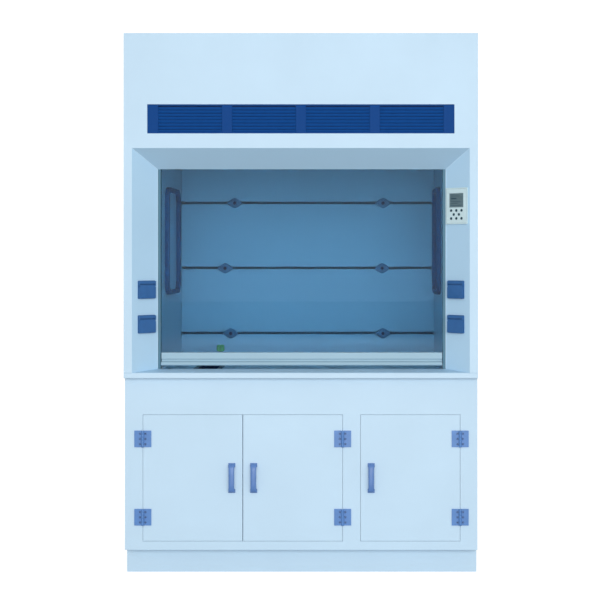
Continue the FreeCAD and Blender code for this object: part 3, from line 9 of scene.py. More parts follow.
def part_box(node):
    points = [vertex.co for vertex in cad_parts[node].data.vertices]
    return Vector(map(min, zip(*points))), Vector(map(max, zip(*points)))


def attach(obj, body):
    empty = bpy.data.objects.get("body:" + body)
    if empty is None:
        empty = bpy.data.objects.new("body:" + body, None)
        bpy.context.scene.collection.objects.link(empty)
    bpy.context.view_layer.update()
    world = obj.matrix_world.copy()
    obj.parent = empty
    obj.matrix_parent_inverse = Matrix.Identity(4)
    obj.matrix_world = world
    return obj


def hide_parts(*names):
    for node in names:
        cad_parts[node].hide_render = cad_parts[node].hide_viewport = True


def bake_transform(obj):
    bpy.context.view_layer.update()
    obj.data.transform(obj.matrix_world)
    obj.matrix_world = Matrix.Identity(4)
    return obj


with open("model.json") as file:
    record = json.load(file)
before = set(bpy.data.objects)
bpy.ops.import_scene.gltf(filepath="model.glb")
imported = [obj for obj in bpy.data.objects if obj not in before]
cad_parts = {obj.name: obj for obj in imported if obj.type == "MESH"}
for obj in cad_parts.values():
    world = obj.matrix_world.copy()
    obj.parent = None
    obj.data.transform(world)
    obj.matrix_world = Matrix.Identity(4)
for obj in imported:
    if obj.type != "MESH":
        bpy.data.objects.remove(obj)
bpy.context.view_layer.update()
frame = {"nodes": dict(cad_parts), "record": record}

# A laboratory fume cupboard in welded polypropylene sheet. All sizes are in metres, in the frame
# of the CAD model: +X to the user's right, +Y to the wall, +Z up, with the floor at Z = 0.

NODES = frame["nodes"]
SLOT_OF = {part["node"]: part["material_slot"] for part in frame["record"]["subparts"]}

FRONT_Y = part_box("front_fascia")[0].y
DOOR_FACE_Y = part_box("face_frame")[0].y
WORKTOP_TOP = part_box("worktop")[1].z
CEILING_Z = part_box("liner_ceiling")[0].z

# The splayed side panels: half the width at the front and at the back edge, and their depth.
OPENING_HALF = 0.715
THROAT_HALF = 0.619
SURROUND_DEPTH = 0.080

# The height of the splayed head panel's face at the front and at its back edge.
SPLAY_FRONT_Z = 1.813
SPLAY_THROAT_Z = 1.728


# --- Materials ---

def linear(red, green, blue):
    """A colour given as 8-bit display values, in scene-linear values."""
    def one(value):
        share = value / 255
        return share / 12.92 if share <= 0.04045 else ((share + 0.055) / 1.055) ** 2.4
    return one(red), one(green), one(blue)


class Paint:
    """A Principled material and the few nodes that give its surface detail."""

    def __init__(self, name, **constants):
        self.material = bpy.data.materials.new(name)
        self.material.use_nodes = True
        self.tree = self.material.node_tree
        self.shader = self.tree.nodes["Principled BSDF"]
        for socket, value in constants.items():
            self.shader.inputs[socket.replace("_", " ")].default_value = value
        self.place = self.tree.nodes.new("ShaderNodeTexCoord").outputs["Object"]

    def noise(self, per_metre, detail=3.0, stretch=(1, 1, 1), distortion=0.0):
        """Noise with a number of blotches to the metre, stretched along an axis if asked."""
        mapping = self.tree.nodes.new("ShaderNodeMapping")
        mapping.inputs["Scale"].default_value = [per_metre * share for share in stretch]
        self.tree.links.new(self.place, mapping.inputs["Vector"])
        noise = self.tree.nodes.new("ShaderNodeTexNoise")
        noise.inputs["Scale"].default_value = 1.0
        noise.inputs["Detail"].default_value = detail
        noise.inputs["Distortion"].default_value = distortion
        self.tree.links.new(mapping.outputs["Vector"], noise.inputs["Vector"])
        return noise.outputs["Fac"]

    def spread(self, source, low, high, start=0.3, end=0.7):
        """Map a noise onto a range of values."""
        span = self.tree.nodes.new("ShaderNodeMapRange")
        span.inputs["From Min"].default_value = start
        span.inputs["From Max"].default_value = end
        span.inputs["To Min"].default_value = low
        span.inputs["To Max"].default_value = high
        self.tree.links.new(source, span.inputs["Value"])
        return span.outputs["Result"]

    def mixed(self, share, first, second):
        """A colour between two, or between a node's output and a colour."""
        mix = self.tree.nodes.new("ShaderNodeMix")
        mix.data_type = "RGBA"
        self.tree.links.new(share, mix.inputs["Factor"])
        for socket, colour in (("A", first), ("B", second)):
            target = [port for port in mix.inputs if port.name == socket and port.type == "RGBA"][0]
            if isinstance(colour, bpy.types.NodeSocket):
                self.tree.links.new(colour, target)
            else:
                target.default_value = (*colour[:3], 1)
        return [port for port in mix.outputs if port.type == "RGBA"][0]

    def mottled(self, share, colour, darkest, lightest):
        """A colour that drifts between a darker and a lighter share of itself."""
        return self.mixed(share, shaded(colour, darkest), shaded(colour, lightest))

    def only_seen(self, strength):
        """Light that the camera sees on the surface, and that falls on nothing else."""
        path = self.tree.nodes.new("ShaderNodeLightPath")
        product = self.tree.nodes.new("ShaderNodeMath")
        product.operation = "MULTIPLY"
        product.inputs[1].default_value = strength
        self.tree.links.new(path.outputs["Is Camera Ray"], product.inputs[0])
        self.shader.inputs["Emission Color"].default_value = (1, 1, 1, 1)
        self.feed("Emission Strength", product.outputs["Value"])

    def turned_to(self, axis, full, none):
        """1 on faces whose normal's part along an axis is at most the first value, 0 past the other."""
        normal = self.tree.nodes.new("ShaderNodeNewGeometry").outputs["Normal"]
        parts = self.tree.nodes.new("ShaderNodeSeparateXYZ")
        self.tree.links.new(normal, parts.inputs["Vector"])
        return self.spread(parts.outputs[axis], 1, 0, full, none)

    def feed(self, socket, source):
        """Drive one of the shader's inputs from a node's output."""
        self.tree.links.new(source, self.shader.inputs[socket])

    def bump(self, *layers):
        """Relief from layers of (height source, depth in metres)."""
        normal = None
        for height, depth in layers:
            bump = self.tree.nodes.new("ShaderNodeBump")
            bump.inputs["Strength"].default_value = 1.0
            bump.inputs["Distance"].default_value = depth
            self.tree.links.new(height, bump.inputs["Height"])
            if normal is not None:
                self.tree.links.new(normal, bump.inputs["Normal"])
            normal = bump.outputs["Normal"]
        self.feed("Normal", normal)


def shaded(colour, factor):
    """A colour made darker or lighter by a factor."""
    return tuple(min(1.0, part * factor) for part in colour)


# Sheet: its roughness, the darkest and lightest share of its colour, and the depth of its relief.
SHEET_ROUGHNESS = (0.38, 0.50)
SHEET_MOTTLE = (0.975, 1.02)
SHEET_WAVE_DEPTH = 0.0006
SHEET_SKIN_DEPTH = 0.00004

# The splayed head panel faces down, and painted shade darkens it to this share of the side panels' colour.
UNDERSIDE_SHADE_SHARE = 0.86

# The part along Y of a normal that faces the front: wholly, and no longer. It splits where painted shade
# goes: the fascia's front faces stay unshaded, and the louvre's front faces are shaded.
FACES_FRONT = (-0.99, -0.93)


def sheet_paint(name, rough):
    """Extruded polypropylene sheet before it gets its colour: slow waves and a fine skin."""
    paint = Paint(name, Specular_IOR_Level=0.2, IOR=1.49)
    clouds = paint.spread(paint.noise(3.1, detail=4.0), 0, 1)
    waves = paint.noise(9.0, detail=2.0, stretch=(0.35, 1, 1.9))
    skin = paint.noise(520, detail=2.0)
    paint.feed("Roughness", paint.spread(paint.noise(26, detail=5.0), *rough))
    paint.bump((waves, SHEET_WAVE_DEPTH), (skin, SHEET_SKIN_DEPTH))
    return paint, clouds, waves


def sheet_material(name, colour, rough=SHEET_ROUGHNESS):
    """Polypropylene sheet of one colour, with faint clouding that follows the waves."""
    paint, clouds, waves = sheet_paint(name, rough)
    body = paint.mottled(clouds, colour, *SHEET_MOTTLE)
    paint.feed("Base Color", paint.mixed(paint.spread(waves, 0, 0.35), body, shaded(colour, 0.985)))
    return paint.material


def shaded_surround_material(name, colour, front=None):
    """The same sheet on the splayed panels, with painted shade: darker all over, and darker still on faces
    that turn down.

    With a front colour it also suits the fascia: its front faces keep the front colour, and painted shade
    darkens the faces round its opening to the splayed panels' colour.
    """
    paint, clouds, _waves = sheet_paint(name, SHEET_ROUGHNESS)
    tone = paint.mottled(clouds, colour, *SHEET_MOTTLE)
    # Painted shade: faces that turn down get a darker share of the colour.
    tone = paint.mixed(paint.turned_to("Z", -0.6, -0.3), tone, shaded(colour, UNDERSIDE_SHADE_SHARE))
    if front is not None:
        face = paint.mottled(clouds, front, *SHEET_MOTTLE)
        # On the fascia only the front faces get the front colour; the faces round its opening keep the
        # painted shade.
        tone = paint.mixed(paint.turned_to("Y", *FACES_FRONT), tone, face)
    paint.feed("Base Color", tone)
    return paint.material


def moulded_material(name, colour, rough=(0.30, 0.44), mottle=0.06):
    """Injection-moulded plastic with a fine spark-eroded grain."""
    paint = Paint(name, Specular_IOR_Level=0.5)
    clouds = paint.spread(paint.noise(34, detail=4.0), 0, 1)
    paint.feed("Base Color", paint.mottled(clouds, colour, 1 - mottle, 1 + mottle))
    paint.feed("Roughness", paint.spread(paint.noise(75, detail=4.0), *rough))
    paint.bump((paint.noise(900, detail=1.0), 0.00005))
    return paint.material


def louvre_material(name, slat, front):
    """Moulded plastic whose flat front faces get painted shade: a darker colour than the slats behind them,
    against the light they catch.
    """
    paint = Paint(name, Specular_IOR_Level=0.05)
    clouds = paint.spread(paint.noise(34, detail=4.0), 0, 1)
    slats = paint.mottled(clouds, slat, 0.96, 1.04)
    # Painted shade on the faces that look to the front.
    paint.feed("Base Color", paint.mixed(paint.turned_to("Y", *FACES_FRONT), slats, front))
    paint.feed("Roughness", paint.spread(paint.noise(75, detail=4.0), 0.42, 0.56))
    paint.bump((paint.noise(600, detail=1.0), 0.00003))
    return paint.material


def rubber_material(name, colour):
    """Soft seal rubber with a bloom on its skin."""
    paint = Paint(name, Specular_IOR_Level=0.12)
    bloom = paint.noise(22, detail=6.0)
    paint.feed("Base Color", paint.mottled(paint.spread(bloom, 0, 1, 0.35, 0.75), colour, 1, 1.22))
    paint.feed("Roughness", paint.spread(bloom, 0.48, 0.66))
    paint.bump((paint.noise(700, detail=2.0), 0.00005))
    return paint.material


def metal_material(name, colour, stretch):
    """Drawn or brushed metal with its marks along one axis."""
    paint = Paint(name, Metallic=1.0)
    marks = paint.noise(1500, detail=3.0, stretch=stretch)
    stain = paint.spread(paint.noise(14, detail=5.0), 0, 1)
    paint.feed("Base Color", paint.mottled(stain, colour, 0.86, 1.05))
    paint.feed("Roughness", paint.spread(marks, 0.24, 0.40))
    paint.bump((marks, 0.00003))
    return paint.material


def glass_material(name, tint):
    """Tinted sheet with faint wiping marks."""
    paint = Paint(name, IOR=1.46, Transmission_Weight=1.0, Base_Color=(*tint, 1))
    wiped = paint.noise(7, detail=6.0, stretch=(0.5, 1, 1.6), distortion=1.4)
    paint.feed("Roughness", paint.spread(wiped, 0.0, 0.035, 0.42, 0.8))
    return paint.material


def display_material(name):
    """A grey-green liquid-crystal window: faint rows of cells under a gloss cover."""
    paint = Paint(name, Specular_IOR_Level=0.5, Coat_Weight=0.6, Coat_Roughness=0.06)
    dark, light = linear(70, 97, 108), linear(86, 113, 120)
    rows = paint.spread(paint.noise(45, detail=3.0, stretch=(0.4, 0.4, 3.5)), 0, 1)
    paint.feed("Base Color", paint.mixed(rows, dark, light))
    paint.feed("Roughness", paint.spread(paint.noise(120), 0.16, 0.26))
    paint.bump((paint.noise(2500, detail=0.0), 0.00001))
    return paint.material


# The sheet's colour, and the splayed panels' colour with painted shade, darker for the less light they get
# from the room.
PALE = linear(190, 216, 235)
SPLAY_SHADED_COLOUR = linear(172, 206, 230)

MATERIALS = {
    "pale_sheet": sheet_material("pale_sheet", PALE),
    # The fascia and the splayed panels carry painted shade in their colour.
    "fascia_shaded_sheet": shaded_surround_material("fascia_shaded_sheet", SPLAY_SHADED_COLOUR, front=PALE),
    "surround_sheet": shaded_surround_material("surround_sheet", SPLAY_SHADED_COLOUR),
    # Painted shade: the sash guides sit in the recess between the splayed panels and the glass, and their
    # sheet is darkened for the shade there.
    "guide_shaded_sheet": sheet_material("guide_shaded_sheet", linear(82, 122, 142)),
    # Painted light: the chamber's inside is lighter than the outside sheet, for the light that gets into the
    # chamber.
    "chamber_lit_sheet": sheet_material("chamber_lit_sheet", linear(215, 230, 241)),
    # The louvre's second colour is painted shade for its front faces.
    "louvre_blue": louvre_material("louvre_blue", linear(24, 80, 152), linear(18, 66, 130)),
    "seal_blue": rubber_material("seal_blue", linear(12, 98, 142)),
    "clear_glass": glass_material("clear_glass", linear(173, 220, 245)),
    "display_glass": display_material("display_glass"),
    "rail_pale": sheet_material("rail_pale", linear(154, 185, 202), rough=(0.30, 0.40)),
    "shoe_white": moulded_material("shoe_white", linear(232, 234, 230), rough=(0.36, 0.5)),
    "buffer_rubber": rubber_material("buffer_rubber", linear(40, 40, 42)),
    "bare_aluminium": metal_material("bare_aluminium", (0.78, 0.79, 0.81), (1, 1, 0.03)),
    "bare_steel": metal_material("bare_steel", (0.60, 0.61, 0.63), (1, 1, 0.02)),
    "knob_blue": moulded_material("knob_blue", linear(96, 138, 172), rough=(0.34, 0.48)),
    "black_plastic": moulded_material("black_plastic", linear(38, 40, 44), rough=(0.36, 0.5)),
    "tap_coating": moulded_material("tap_coating", linear(224, 232, 232), rough=(0.22, 0.32)),
    "sink_navy": moulded_material("sink_navy", linear(52, 70, 104), rough=(0.3, 0.42)),
    "knob_green": moulded_material("knob_green", linear(54, 186, 96), rough=(0.28, 0.4)),
    "socket_blue": moulded_material("socket_blue", linear(40, 94, 152), rough=(0.34, 0.46)),
    "controller_grey": moulded_material("controller_grey", linear(198, 222, 228), mottle=0.03),
    "key_dark": rubber_material("key_dark", linear(48, 72, 84)),
    "hinge_blue": moulded_material("hinge_blue", linear(82, 128, 190), rough=(0.34, 0.46)),
    "handle_blue": moulded_material("handle_blue", linear(86, 124, 184), rough=(0.30, 0.42)),
    "screw_dark": moulded_material("screw_dark", linear(16, 30, 66), rough=(0.4, 0.5)),
    # A dark sheet of painted shade behind the louvre.
    "louvre_shade_dark": moulded_material("louvre_shade_dark", linear(18, 56, 112), rough=(0.6, 0.7)),
    "rim_grey": moulded_material("rim_grey", linear(120, 146, 158), mottle=0.03),
}


# --- Mesh helpers ---

WELD_DISTANCE = 0.00001
HARD_EDGE_ANGLE = 35


def finish_mesh(name, mesh_builder, material, body, smooth=40):
    """Turn a bmesh into a piece that rides on a body, with its edges sharp above an angle."""
    bmesh.ops.recalc_face_normals(mesh_builder, faces=mesh_builder.faces)
    mesh = bpy.data.meshes.new(name)
    mesh_builder.to_mesh(mesh)
    mesh_builder.free()
    piece = bpy.data.objects.new(name, mesh)
    bpy.context.scene.collection.objects.link(piece)
    mesh.materials.append(MATERIALS[material])
    mesh.shade_smooth()
    mesh.set_sharp_from_angle(angle=math.radians(smooth))
    if body is not None:
        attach(piece, body)
    return piece


def add_box(builder, low, high, turn=None):
    """A closed block between two corners, moved by a matrix if one is given."""
    corners = [
        builder.verts.new((x, y, z))
        for x in (low[0], high[0]) for y in (low[1], high[1]) for z in (low[2], high[2])
    ]
    for face in ((0, 1, 3, 2), (4, 6, 7, 5), (0, 4, 5, 1), (2, 3, 7, 6), (0, 2, 6, 4), (1, 5, 7, 3)):
        builder.faces.new([corners[index] for index in face])
    if turn is not None:
        bmesh.ops.transform(builder, matrix=turn, verts=corners)


def add_rings(builder, rings, closed=False):
    """Skin a row of vertex rings, with caps at both ends unless the row closes on itself."""
    loops = [[builder.verts.new(point) for point in ring] for ring in rings]
    count = len(loops[0])
    rows = range(len(loops)) if closed else range(len(loops) - 1)
    for row in rows:
        near, far = loops[row], loops[(row + 1) % len(loops)]
        for index in range(count):
            after = (index + 1) % count
            builder.faces.new((near[index], near[after], far[after], far[index]))
    if not closed:
        builder.faces.new(reversed(loops[0]))
        builder.faces.new(loops[-1])
    return [vertex for loop in loops for vertex in loop]


def add_turned(builder, profile, matrix, sides=32, flutes=0, flute_depth=0.0):
    """Turn a profile of (radius, height, share of flute) about Z, then move it by a matrix."""
    rings = []
    for radius, height, share in profile:
        ring = []
        for index in range(sides):
            angle = 2 * math.pi * index / sides
            groove = (0.5 + 0.5 * math.cos(flutes * angle)) ** 3 if flutes else 0.0
            reach = radius - flute_depth * share * groove
            ring.append(matrix @ Vector((reach * math.cos(angle), reach * math.sin(angle), height)))
        rings.append(ring)
    add_rings(builder, rings)


def add_tube(builder, path, radius, sides=10, closed=False):
    """A round tube along a path of points. The radius may be a number or one number a point."""
    points = [Vector(point) for point in path]
    rings = []
    count = len(points)
    radii = radius if isinstance(radius, (list, tuple)) else [radius] * count
    side = None
    for index, point in enumerate(points):
        before = points[index - 1] if index or closed else point
        after = points[(index + 1) % count] if index < count - 1 or closed else point
        ahead = (after - before).normalized()
        if side is None:
            side = ahead.orthogonal().normalized()
        side = (side - ahead * side.dot(ahead)).normalized()
        up = ahead.cross(side)
        rings.append([
            point + radii[index] * (side * math.cos(turn) + up * math.sin(turn))
            for turn in (2 * math.pi * step / sides for step in range(sides))
        ])
    add_rings(builder, rings, closed)


def soften(piece, width, segments=2):
    """Round a piece's hard edges without moving its faces."""
    weld = piece.modifiers.new("weld", "WELD")
    weld.merge_threshold = WELD_DISTANCE
    bevel = piece.modifiers.new("rounding", "BEVEL")
    bevel.width = width
    bevel.segments = segments
    bevel.limit_method = "ANGLE"
    bevel.angle_limit = math.radians(HARD_EDGE_ANGLE)
    bevel.harden_normals = True


def steps(low, high, count):
    """Evenly spaced values from low to high."""
    return [low + (high - low) * index / (count - 1) for index in range(count)]


def facing(direction, at):
    """A matrix that takes +Z to a direction, with its origin at a point."""
    return Matrix.Translation(at) @ Vector(direction).to_track_quat("Z", "Y").to_matrix().to_4x4()


# --- CAD nodes keep their shape, and get their finish and softened edges ---

# The rounding of the edges in each slot.
EDGE_RADII = {
    "pale_sheet": 0.0007,
    "rail_pale": 0.0009,
    "controller_grey": 0.0010,
    "socket_blue": 0.0012,
    "hinge_blue": 0.0006,
    "seal_blue": 0.0012,
    "shoe_white": 0.0008,
    "bare_steel": 0.0010,
}

# Nodes whose sheet differs in tone from the rest of its slot: painted shade on the fascia, the splayed
# panels and the sash guides, painted light on the inside of the chamber, and the sink's own navy.
OWN_FINISH = {
    "front_fascia": "fascia_shaded_sheet",
    "surround_panels": "surround_sheet",
    "sash_guides": "guide_shaded_sheet",
    "baffle_plates": "chamber_lit_sheet",
    "liner_sides": "chamber_lit_sheet",
    "liner_ceiling": "chamber_lit_sheet",
    "cup_sink": "sink_navy",
}

# Nodes that keep sharp edges: their large faces then shade evenly, and their welded strips show no seam.
SHARP_EDGED = {"surround_panels", "worktop"}


def finish_cad_nodes():
    """Give each CAD node its finish, and soften its edges."""
    for name, node in NODES.items():
        slot = SLOT_OF[name]
        node.data.materials.clear()
        node.data.materials.append(MATERIALS[OWN_FINISH.get(name, slot)])
        if slot in EDGE_RADII and name not in SHARP_EDGED:
            soften(node, EDGE_RADII[slot])


# --- Door handles ---

HANDLE_NODES = {
    "door_handle_left": "door_left",
    "door_handle_middle": "door_middle",
    "door_handle_right": "door_right",
}


HANDLE_FOOT_HALF = 0.0085
HANDLE_FOOT_PLATE = 0.0035
HANDLE_FOOT_ROUNDING = 0.0016
GRIP_HALF_WIDTH = 0.0118
GRIP_HALF_DEPTH = 0.0045
GRIP_STEPS = 40

# How much the grip grows towards its feet: half its width and half its depth.
FOOT_WIDENING = 0.0032
FOOT_DEEPENING = 0.0035


def soft_oval(half_width, half_height, power, points_round):
    """Points of an oval: its power is 2 for an ellipse, more for squarer and less for a lozenge."""
    def eased(part):
        return math.copysign(abs(part) ** (2 / power), part)
    turns = [2 * math.pi * index / points_round for index in range(points_round)]
    return [(half_width * eased(math.cos(turn)), half_height * eased(math.sin(turn))) for turn in turns]


def make_handle(node, body):
    """A moulded D-handle: a bowed grip that widens into two feet, each on a small plate."""
    low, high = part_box(node)
    middle = (low + high) / 2
    reach = (high.y - low.y) - GRIP_HALF_DEPTH
    half_span = (high.z - low.z) / 2 - HANDLE_FOOT_HALF
    builder = bmesh.new()
    rings = []
    for step in range(GRIP_STEPS + 1):
        turn = math.pi * step / GRIP_STEPS
        along = math.copysign(abs(math.cos(turn)) ** 0.5, math.cos(turn))
        out = abs(math.sin(turn)) ** 0.5
        foot = (1 - out) ** 1.5
        half_width = GRIP_HALF_WIDTH + FOOT_WIDENING * max(foot, abs(along) ** 8)
        half_depth = GRIP_HALF_DEPTH + FOOT_DEEPENING * foot
        centre = Vector((middle.x, high.y - reach * out, middle.z + half_span * along))
        normal = Vector((0, -math.sin(turn), math.cos(turn)))
        section = soft_oval(half_width, half_depth, power=2.6, points_round=20)
        rings.append([centre + Vector((across, 0, 0)) + normal * through for across, through in section])
    for vertex in add_rings(builder, rings):
        vertex.co.y = min(high.y, max(low.y, vertex.co.y))
        vertex.co.z = min(high.z, max(low.z, vertex.co.z))
    grip = finish_mesh(node + "_grip", builder, "handle_blue", body, smooth=60)
    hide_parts(node)

    plates = bmesh.new()
    for sense in (-1, 1):
        z = middle.z + sense * half_span
        add_box(plates, (low.x, high.y - HANDLE_FOOT_PLATE, z - HANDLE_FOOT_HALF),
                (high.x, high.y, z + HANDLE_FOOT_HALF))
    feet = finish_mesh(node + "_feet", plates, "handle_blue", body)
    soften(feet, HANDLE_FOOT_ROUNDING, segments=3)


# --- Hinge screws ---

# Node of the leaves on a door: the body it rides on and the side of the door's hinge.
HINGE_LEAVES = {
    "hinge_leaves_left": ("door_left", 1),
    "hinge_leaves_middle": ("door_middle", -1),
    "hinge_leaves_right": ("door_right", -1),
}
HINGE_SCREW_COLUMN = 0.0115
HINGE_SCREW_PITCH = 0.022
HINGE_SCREW_RADIUS = 0.0050
HINGE_LEAF_WIDTH = 0.036
HINGE_LEAF_FRONT = 0.004
HINGE_MIDDLES = (0.245, 0.578)
RECESS_TURN = 0.4


def add_cross_screw(builder, spot, radius):
    """A countersunk screw head that faces the front, with a cross recess."""
    matrix = facing((0, -1, 0), spot)
    profile = [(radius, -0.0004, 0), (radius, 0.0000, 0), (radius * 0.86, 0.0003, 0),
               (radius * 0.80, -0.0002, 0)]
    add_turned(builder, profile, matrix, sides=20)
    arm, width = radius * 0.62, radius * 0.17
    for turn in (RECESS_TURN, RECESS_TURN + math.pi / 2):
        cross = matrix @ Matrix.Rotation(turn, 4, "Z")
        add_box(builder, (-arm, -width, -0.0002), (arm, width, 0.0001), cross)


def make_hinge_screws():
    """Three screws in each leaf: the door's leaves ride on the door, the others on the frame."""
    y = DOOR_FACE_Y - HINGE_LEAF_FRONT
    on_frame = bmesh.new()
    for node, (body, side) in HINGE_LEAVES.items():
        low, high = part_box(node)
        free_edge = high.x if side > 0 else low.x
        axis_x = free_edge - side * HINGE_LEAF_WIDTH
        column = side * HINGE_SCREW_COLUMN
        on_door = bmesh.new()
        for middle in HINGE_MIDDLES:
            for step in (-1, 0, 1):
                z = middle + step * HINGE_SCREW_PITCH
                add_cross_screw(on_door, Vector((axis_x + column, y, z)), HINGE_SCREW_RADIUS)
                add_cross_screw(on_frame, Vector((axis_x - column, y, z)), HINGE_SCREW_RADIUS)
        finish_mesh("hinge_screws_" + body, on_door, "screw_dark", body)
    finish_mesh("hinge_screws_frame", on_frame, "screw_dark", "root")


# --- Baffle knobs and the tap's knob ---

# The sides of a turned piece whose rim has ribs or lobes.
FLUTED_SIDES = 96

# A baffle knob: its wings, the boss between them, the recess for its cap, its stud and its washer.
WING_HALF_WIDTH = 0.0363
WING_HALF_HEIGHT = 0.0247
WING_THICKNESS = 0.012
KNOB_DEPTH = 0.020
BOSS_RADIUS = 0.0160
CAP_RADIUS = 0.0079
CAP_SUNK = 0.0060
STUD_RADIUS = 0.0040
STUD_LENGTH = 0.010
WASHER_RADIUS = 0.0190

# Longer than one baffle knob and shorter than the way to the next.
KNOB_REACH = 0.09


def knob_centres(node, face_y):
    """The middles of the separate knobs, found from the vertices of their front faces."""
    groups = []
    for vertex in node.data.vertices:
        if vertex.co.y > face_y - KNOB_DEPTH + 0.001:
            continue
        place = Vector((vertex.co.x, vertex.co.z))
        near = [group for group in groups if (group[0] - place).length < KNOB_REACH]
        if near:
            near[0].append(place)
        else:
            groups.append([place])
    centres = []
    for places in groups:
        xs = [place.x for place in places]
        zs = [place.y for place in places]
        centres.append(((min(xs) + max(xs)) / 2, (min(zs) + max(zs)) / 2))
    return sorted(centres)


def make_baffle_knobs():
    """Clamp knobs with two tapered wings, a raised boss, a dark recessed cap and a washer behind."""
    face_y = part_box("baffle_plates")[0].y
    outline = soft_oval(WING_HALF_WIDTH, WING_HALF_HEIGHT, power=1.25, points_round=64)
    wing_levels = [
        # share of the outline's size, height
        (0.94, 0), (0.985, 0.0012), (1, 0.0032), (1, WING_THICKNESS - 0.0035),
        (0.97, WING_THICKNESS - 0.0012), (0.91, WING_THICKNESS - 0.0002), (0.84, WING_THICKNESS),
    ]
    boss = [
        (STUD_RADIUS, -STUD_LENGTH, 0), (STUD_RADIUS, 0.001, 0), (BOSS_RADIUS, 0.001, 0),
        (BOSS_RADIUS, KNOB_DEPTH - 0.0025, 0), (BOSS_RADIUS - 0.0010, KNOB_DEPTH - 0.0007, 0),
        (BOSS_RADIUS - 0.0028, KNOB_DEPTH, 0), (CAP_RADIUS + 0.0016, KNOB_DEPTH, 0),
        (CAP_RADIUS + 0.0006, KNOB_DEPTH - 0.0008, 0), (CAP_RADIUS + 0.0001, KNOB_DEPTH - CAP_SUNK, 0),
    ]
    cap_floor = KNOB_DEPTH - CAP_SUNK
    cap = [(CAP_RADIUS, cap_floor, 0), (CAP_RADIUS, cap_floor + 0.0024, 0),
           (CAP_RADIUS - 0.0013, cap_floor + 0.0032, 0)]
    washer = [(WASHER_RADIUS - 0.0002, -0.0100, 0), (WASHER_RADIUS, -0.0096, 0),
              (WASHER_RADIUS, -0.0064, 0), (WASHER_RADIUS - 0.0004, -0.0060, 0)]
    for index, (x, z) in enumerate(knob_centres(NODES["baffle_knobs"], face_y), start=1):
        matrix = facing((0, -1, 0), Vector((x, face_y, z)))
        builder = bmesh.new()
        add_rings(builder, [
            [matrix @ Vector((across * share, up * share, height)) for across, up in outline]
            for share, height in wing_levels
        ])
        add_turned(builder, boss, matrix, sides=48)
        knob = finish_mesh("baffle_knob_%d" % index, builder, "knob_blue", "root", smooth=35)
        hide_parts("baffle_knobs")
        builder = bmesh.new()
        add_turned(builder, cap, matrix, sides=32)
        finish_mesh("baffle_knob_cap_%d" % index, builder, "screw_dark", "root")
        builder = bmesh.new()
        add_turned(builder, washer, matrix, sides=40)
        finish_mesh("baffle_washer_%d" % index, builder, "knob_blue", "root")


def make_tap_knob():
    """A lobed hand wheel with a smooth index cap."""
    low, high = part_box("tap_knob")
    centre = (low + high) / 2
    radius = (high.x - low.x) / 2
    height = high.z - low.z
    matrix = Matrix.Translation((centre.x, centre.y, low.z))
    builder = bmesh.new()
    profile = [
        (0.0042, 0, 0), (radius - 0.0065, 0, 0), (radius - 0.0030, 0.0020, 0.2), (radius, 0.0060, 0.8),
        (radius, height - 0.0080, 1), (radius - 0.0008, height - 0.0055, 1),
        (radius - 0.0040, height - 0.0025, 0.6), (radius - 0.0070, height - 0.0016, 0.1),
        (0.0095, height - 0.0016, 0),
    ]
    add_turned(builder, profile, matrix, sides=FLUTED_SIDES, flutes=8, flute_depth=0.0034)
    knob = finish_mesh("tap_knob_wheel", builder, "knob_green", "tap_knob", smooth=30)
    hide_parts("tap_knob")
    cap = bmesh.new()
    cap_profile = [(0.0092, height - 0.0022, 0), (0.0092, height - 0.0006, 0), (0.0080, height, 0)]
    add_turned(cap, cap_profile, matrix, sides=40)
    finish_mesh("tap_knob_cap", cap, "tap_coating", "tap_knob")


# --- Sash cables ---

CABLE_X = 0.637
CABLE_RADIUS = 0.002
PULLEY_RADIUS = 0.060

# The rope: its strands, the points drawn on each, their relief, and the length of one turn.
STRANDS = 7
POINTS_A_STRAND = 3
STRAND_RELIEF = 0.10
ROPE_LAY = 0.026

# How many rings of points the run up, the run down and the bend are drawn with.
RISE_RINGS = 260
FALL_RINGS = 44
BEND_RINGS = 90


def add_wire_rope(builder, path):
    """A rope of twisted strands about a path: its section turns as it runs."""
    points = [Vector(point) for point in path]
    travelled = 0.0
    rings = []
    side = None
    for index, point in enumerate(points):
        before = points[max(index - 1, 0)]
        after = points[min(index + 1, len(points) - 1)]
        ahead = (after - before).normalized()
        if side is None:
            side = ahead.orthogonal().normalized()
        else:
            side = (side - ahead * side.dot(ahead)).normalized()
        up = ahead.cross(side)
        travelled += (point - before).length
        twist = travelled * 2 * math.pi / ROPE_LAY
        ring = []
        for step in range(STRANDS * POINTS_A_STRAND):
            turn = 2 * math.pi * step / (STRANDS * POINTS_A_STRAND)
            relief = STRAND_RELIEF * math.cos(STRANDS * (turn + twist))
            reach = CABLE_RADIUS * (1 - STRAND_RELIEF + relief)
            ring.append(point + reach * (side * math.cos(turn) + up * math.sin(turn)))
        rings.append(ring)
    add_rings(builder, rings)


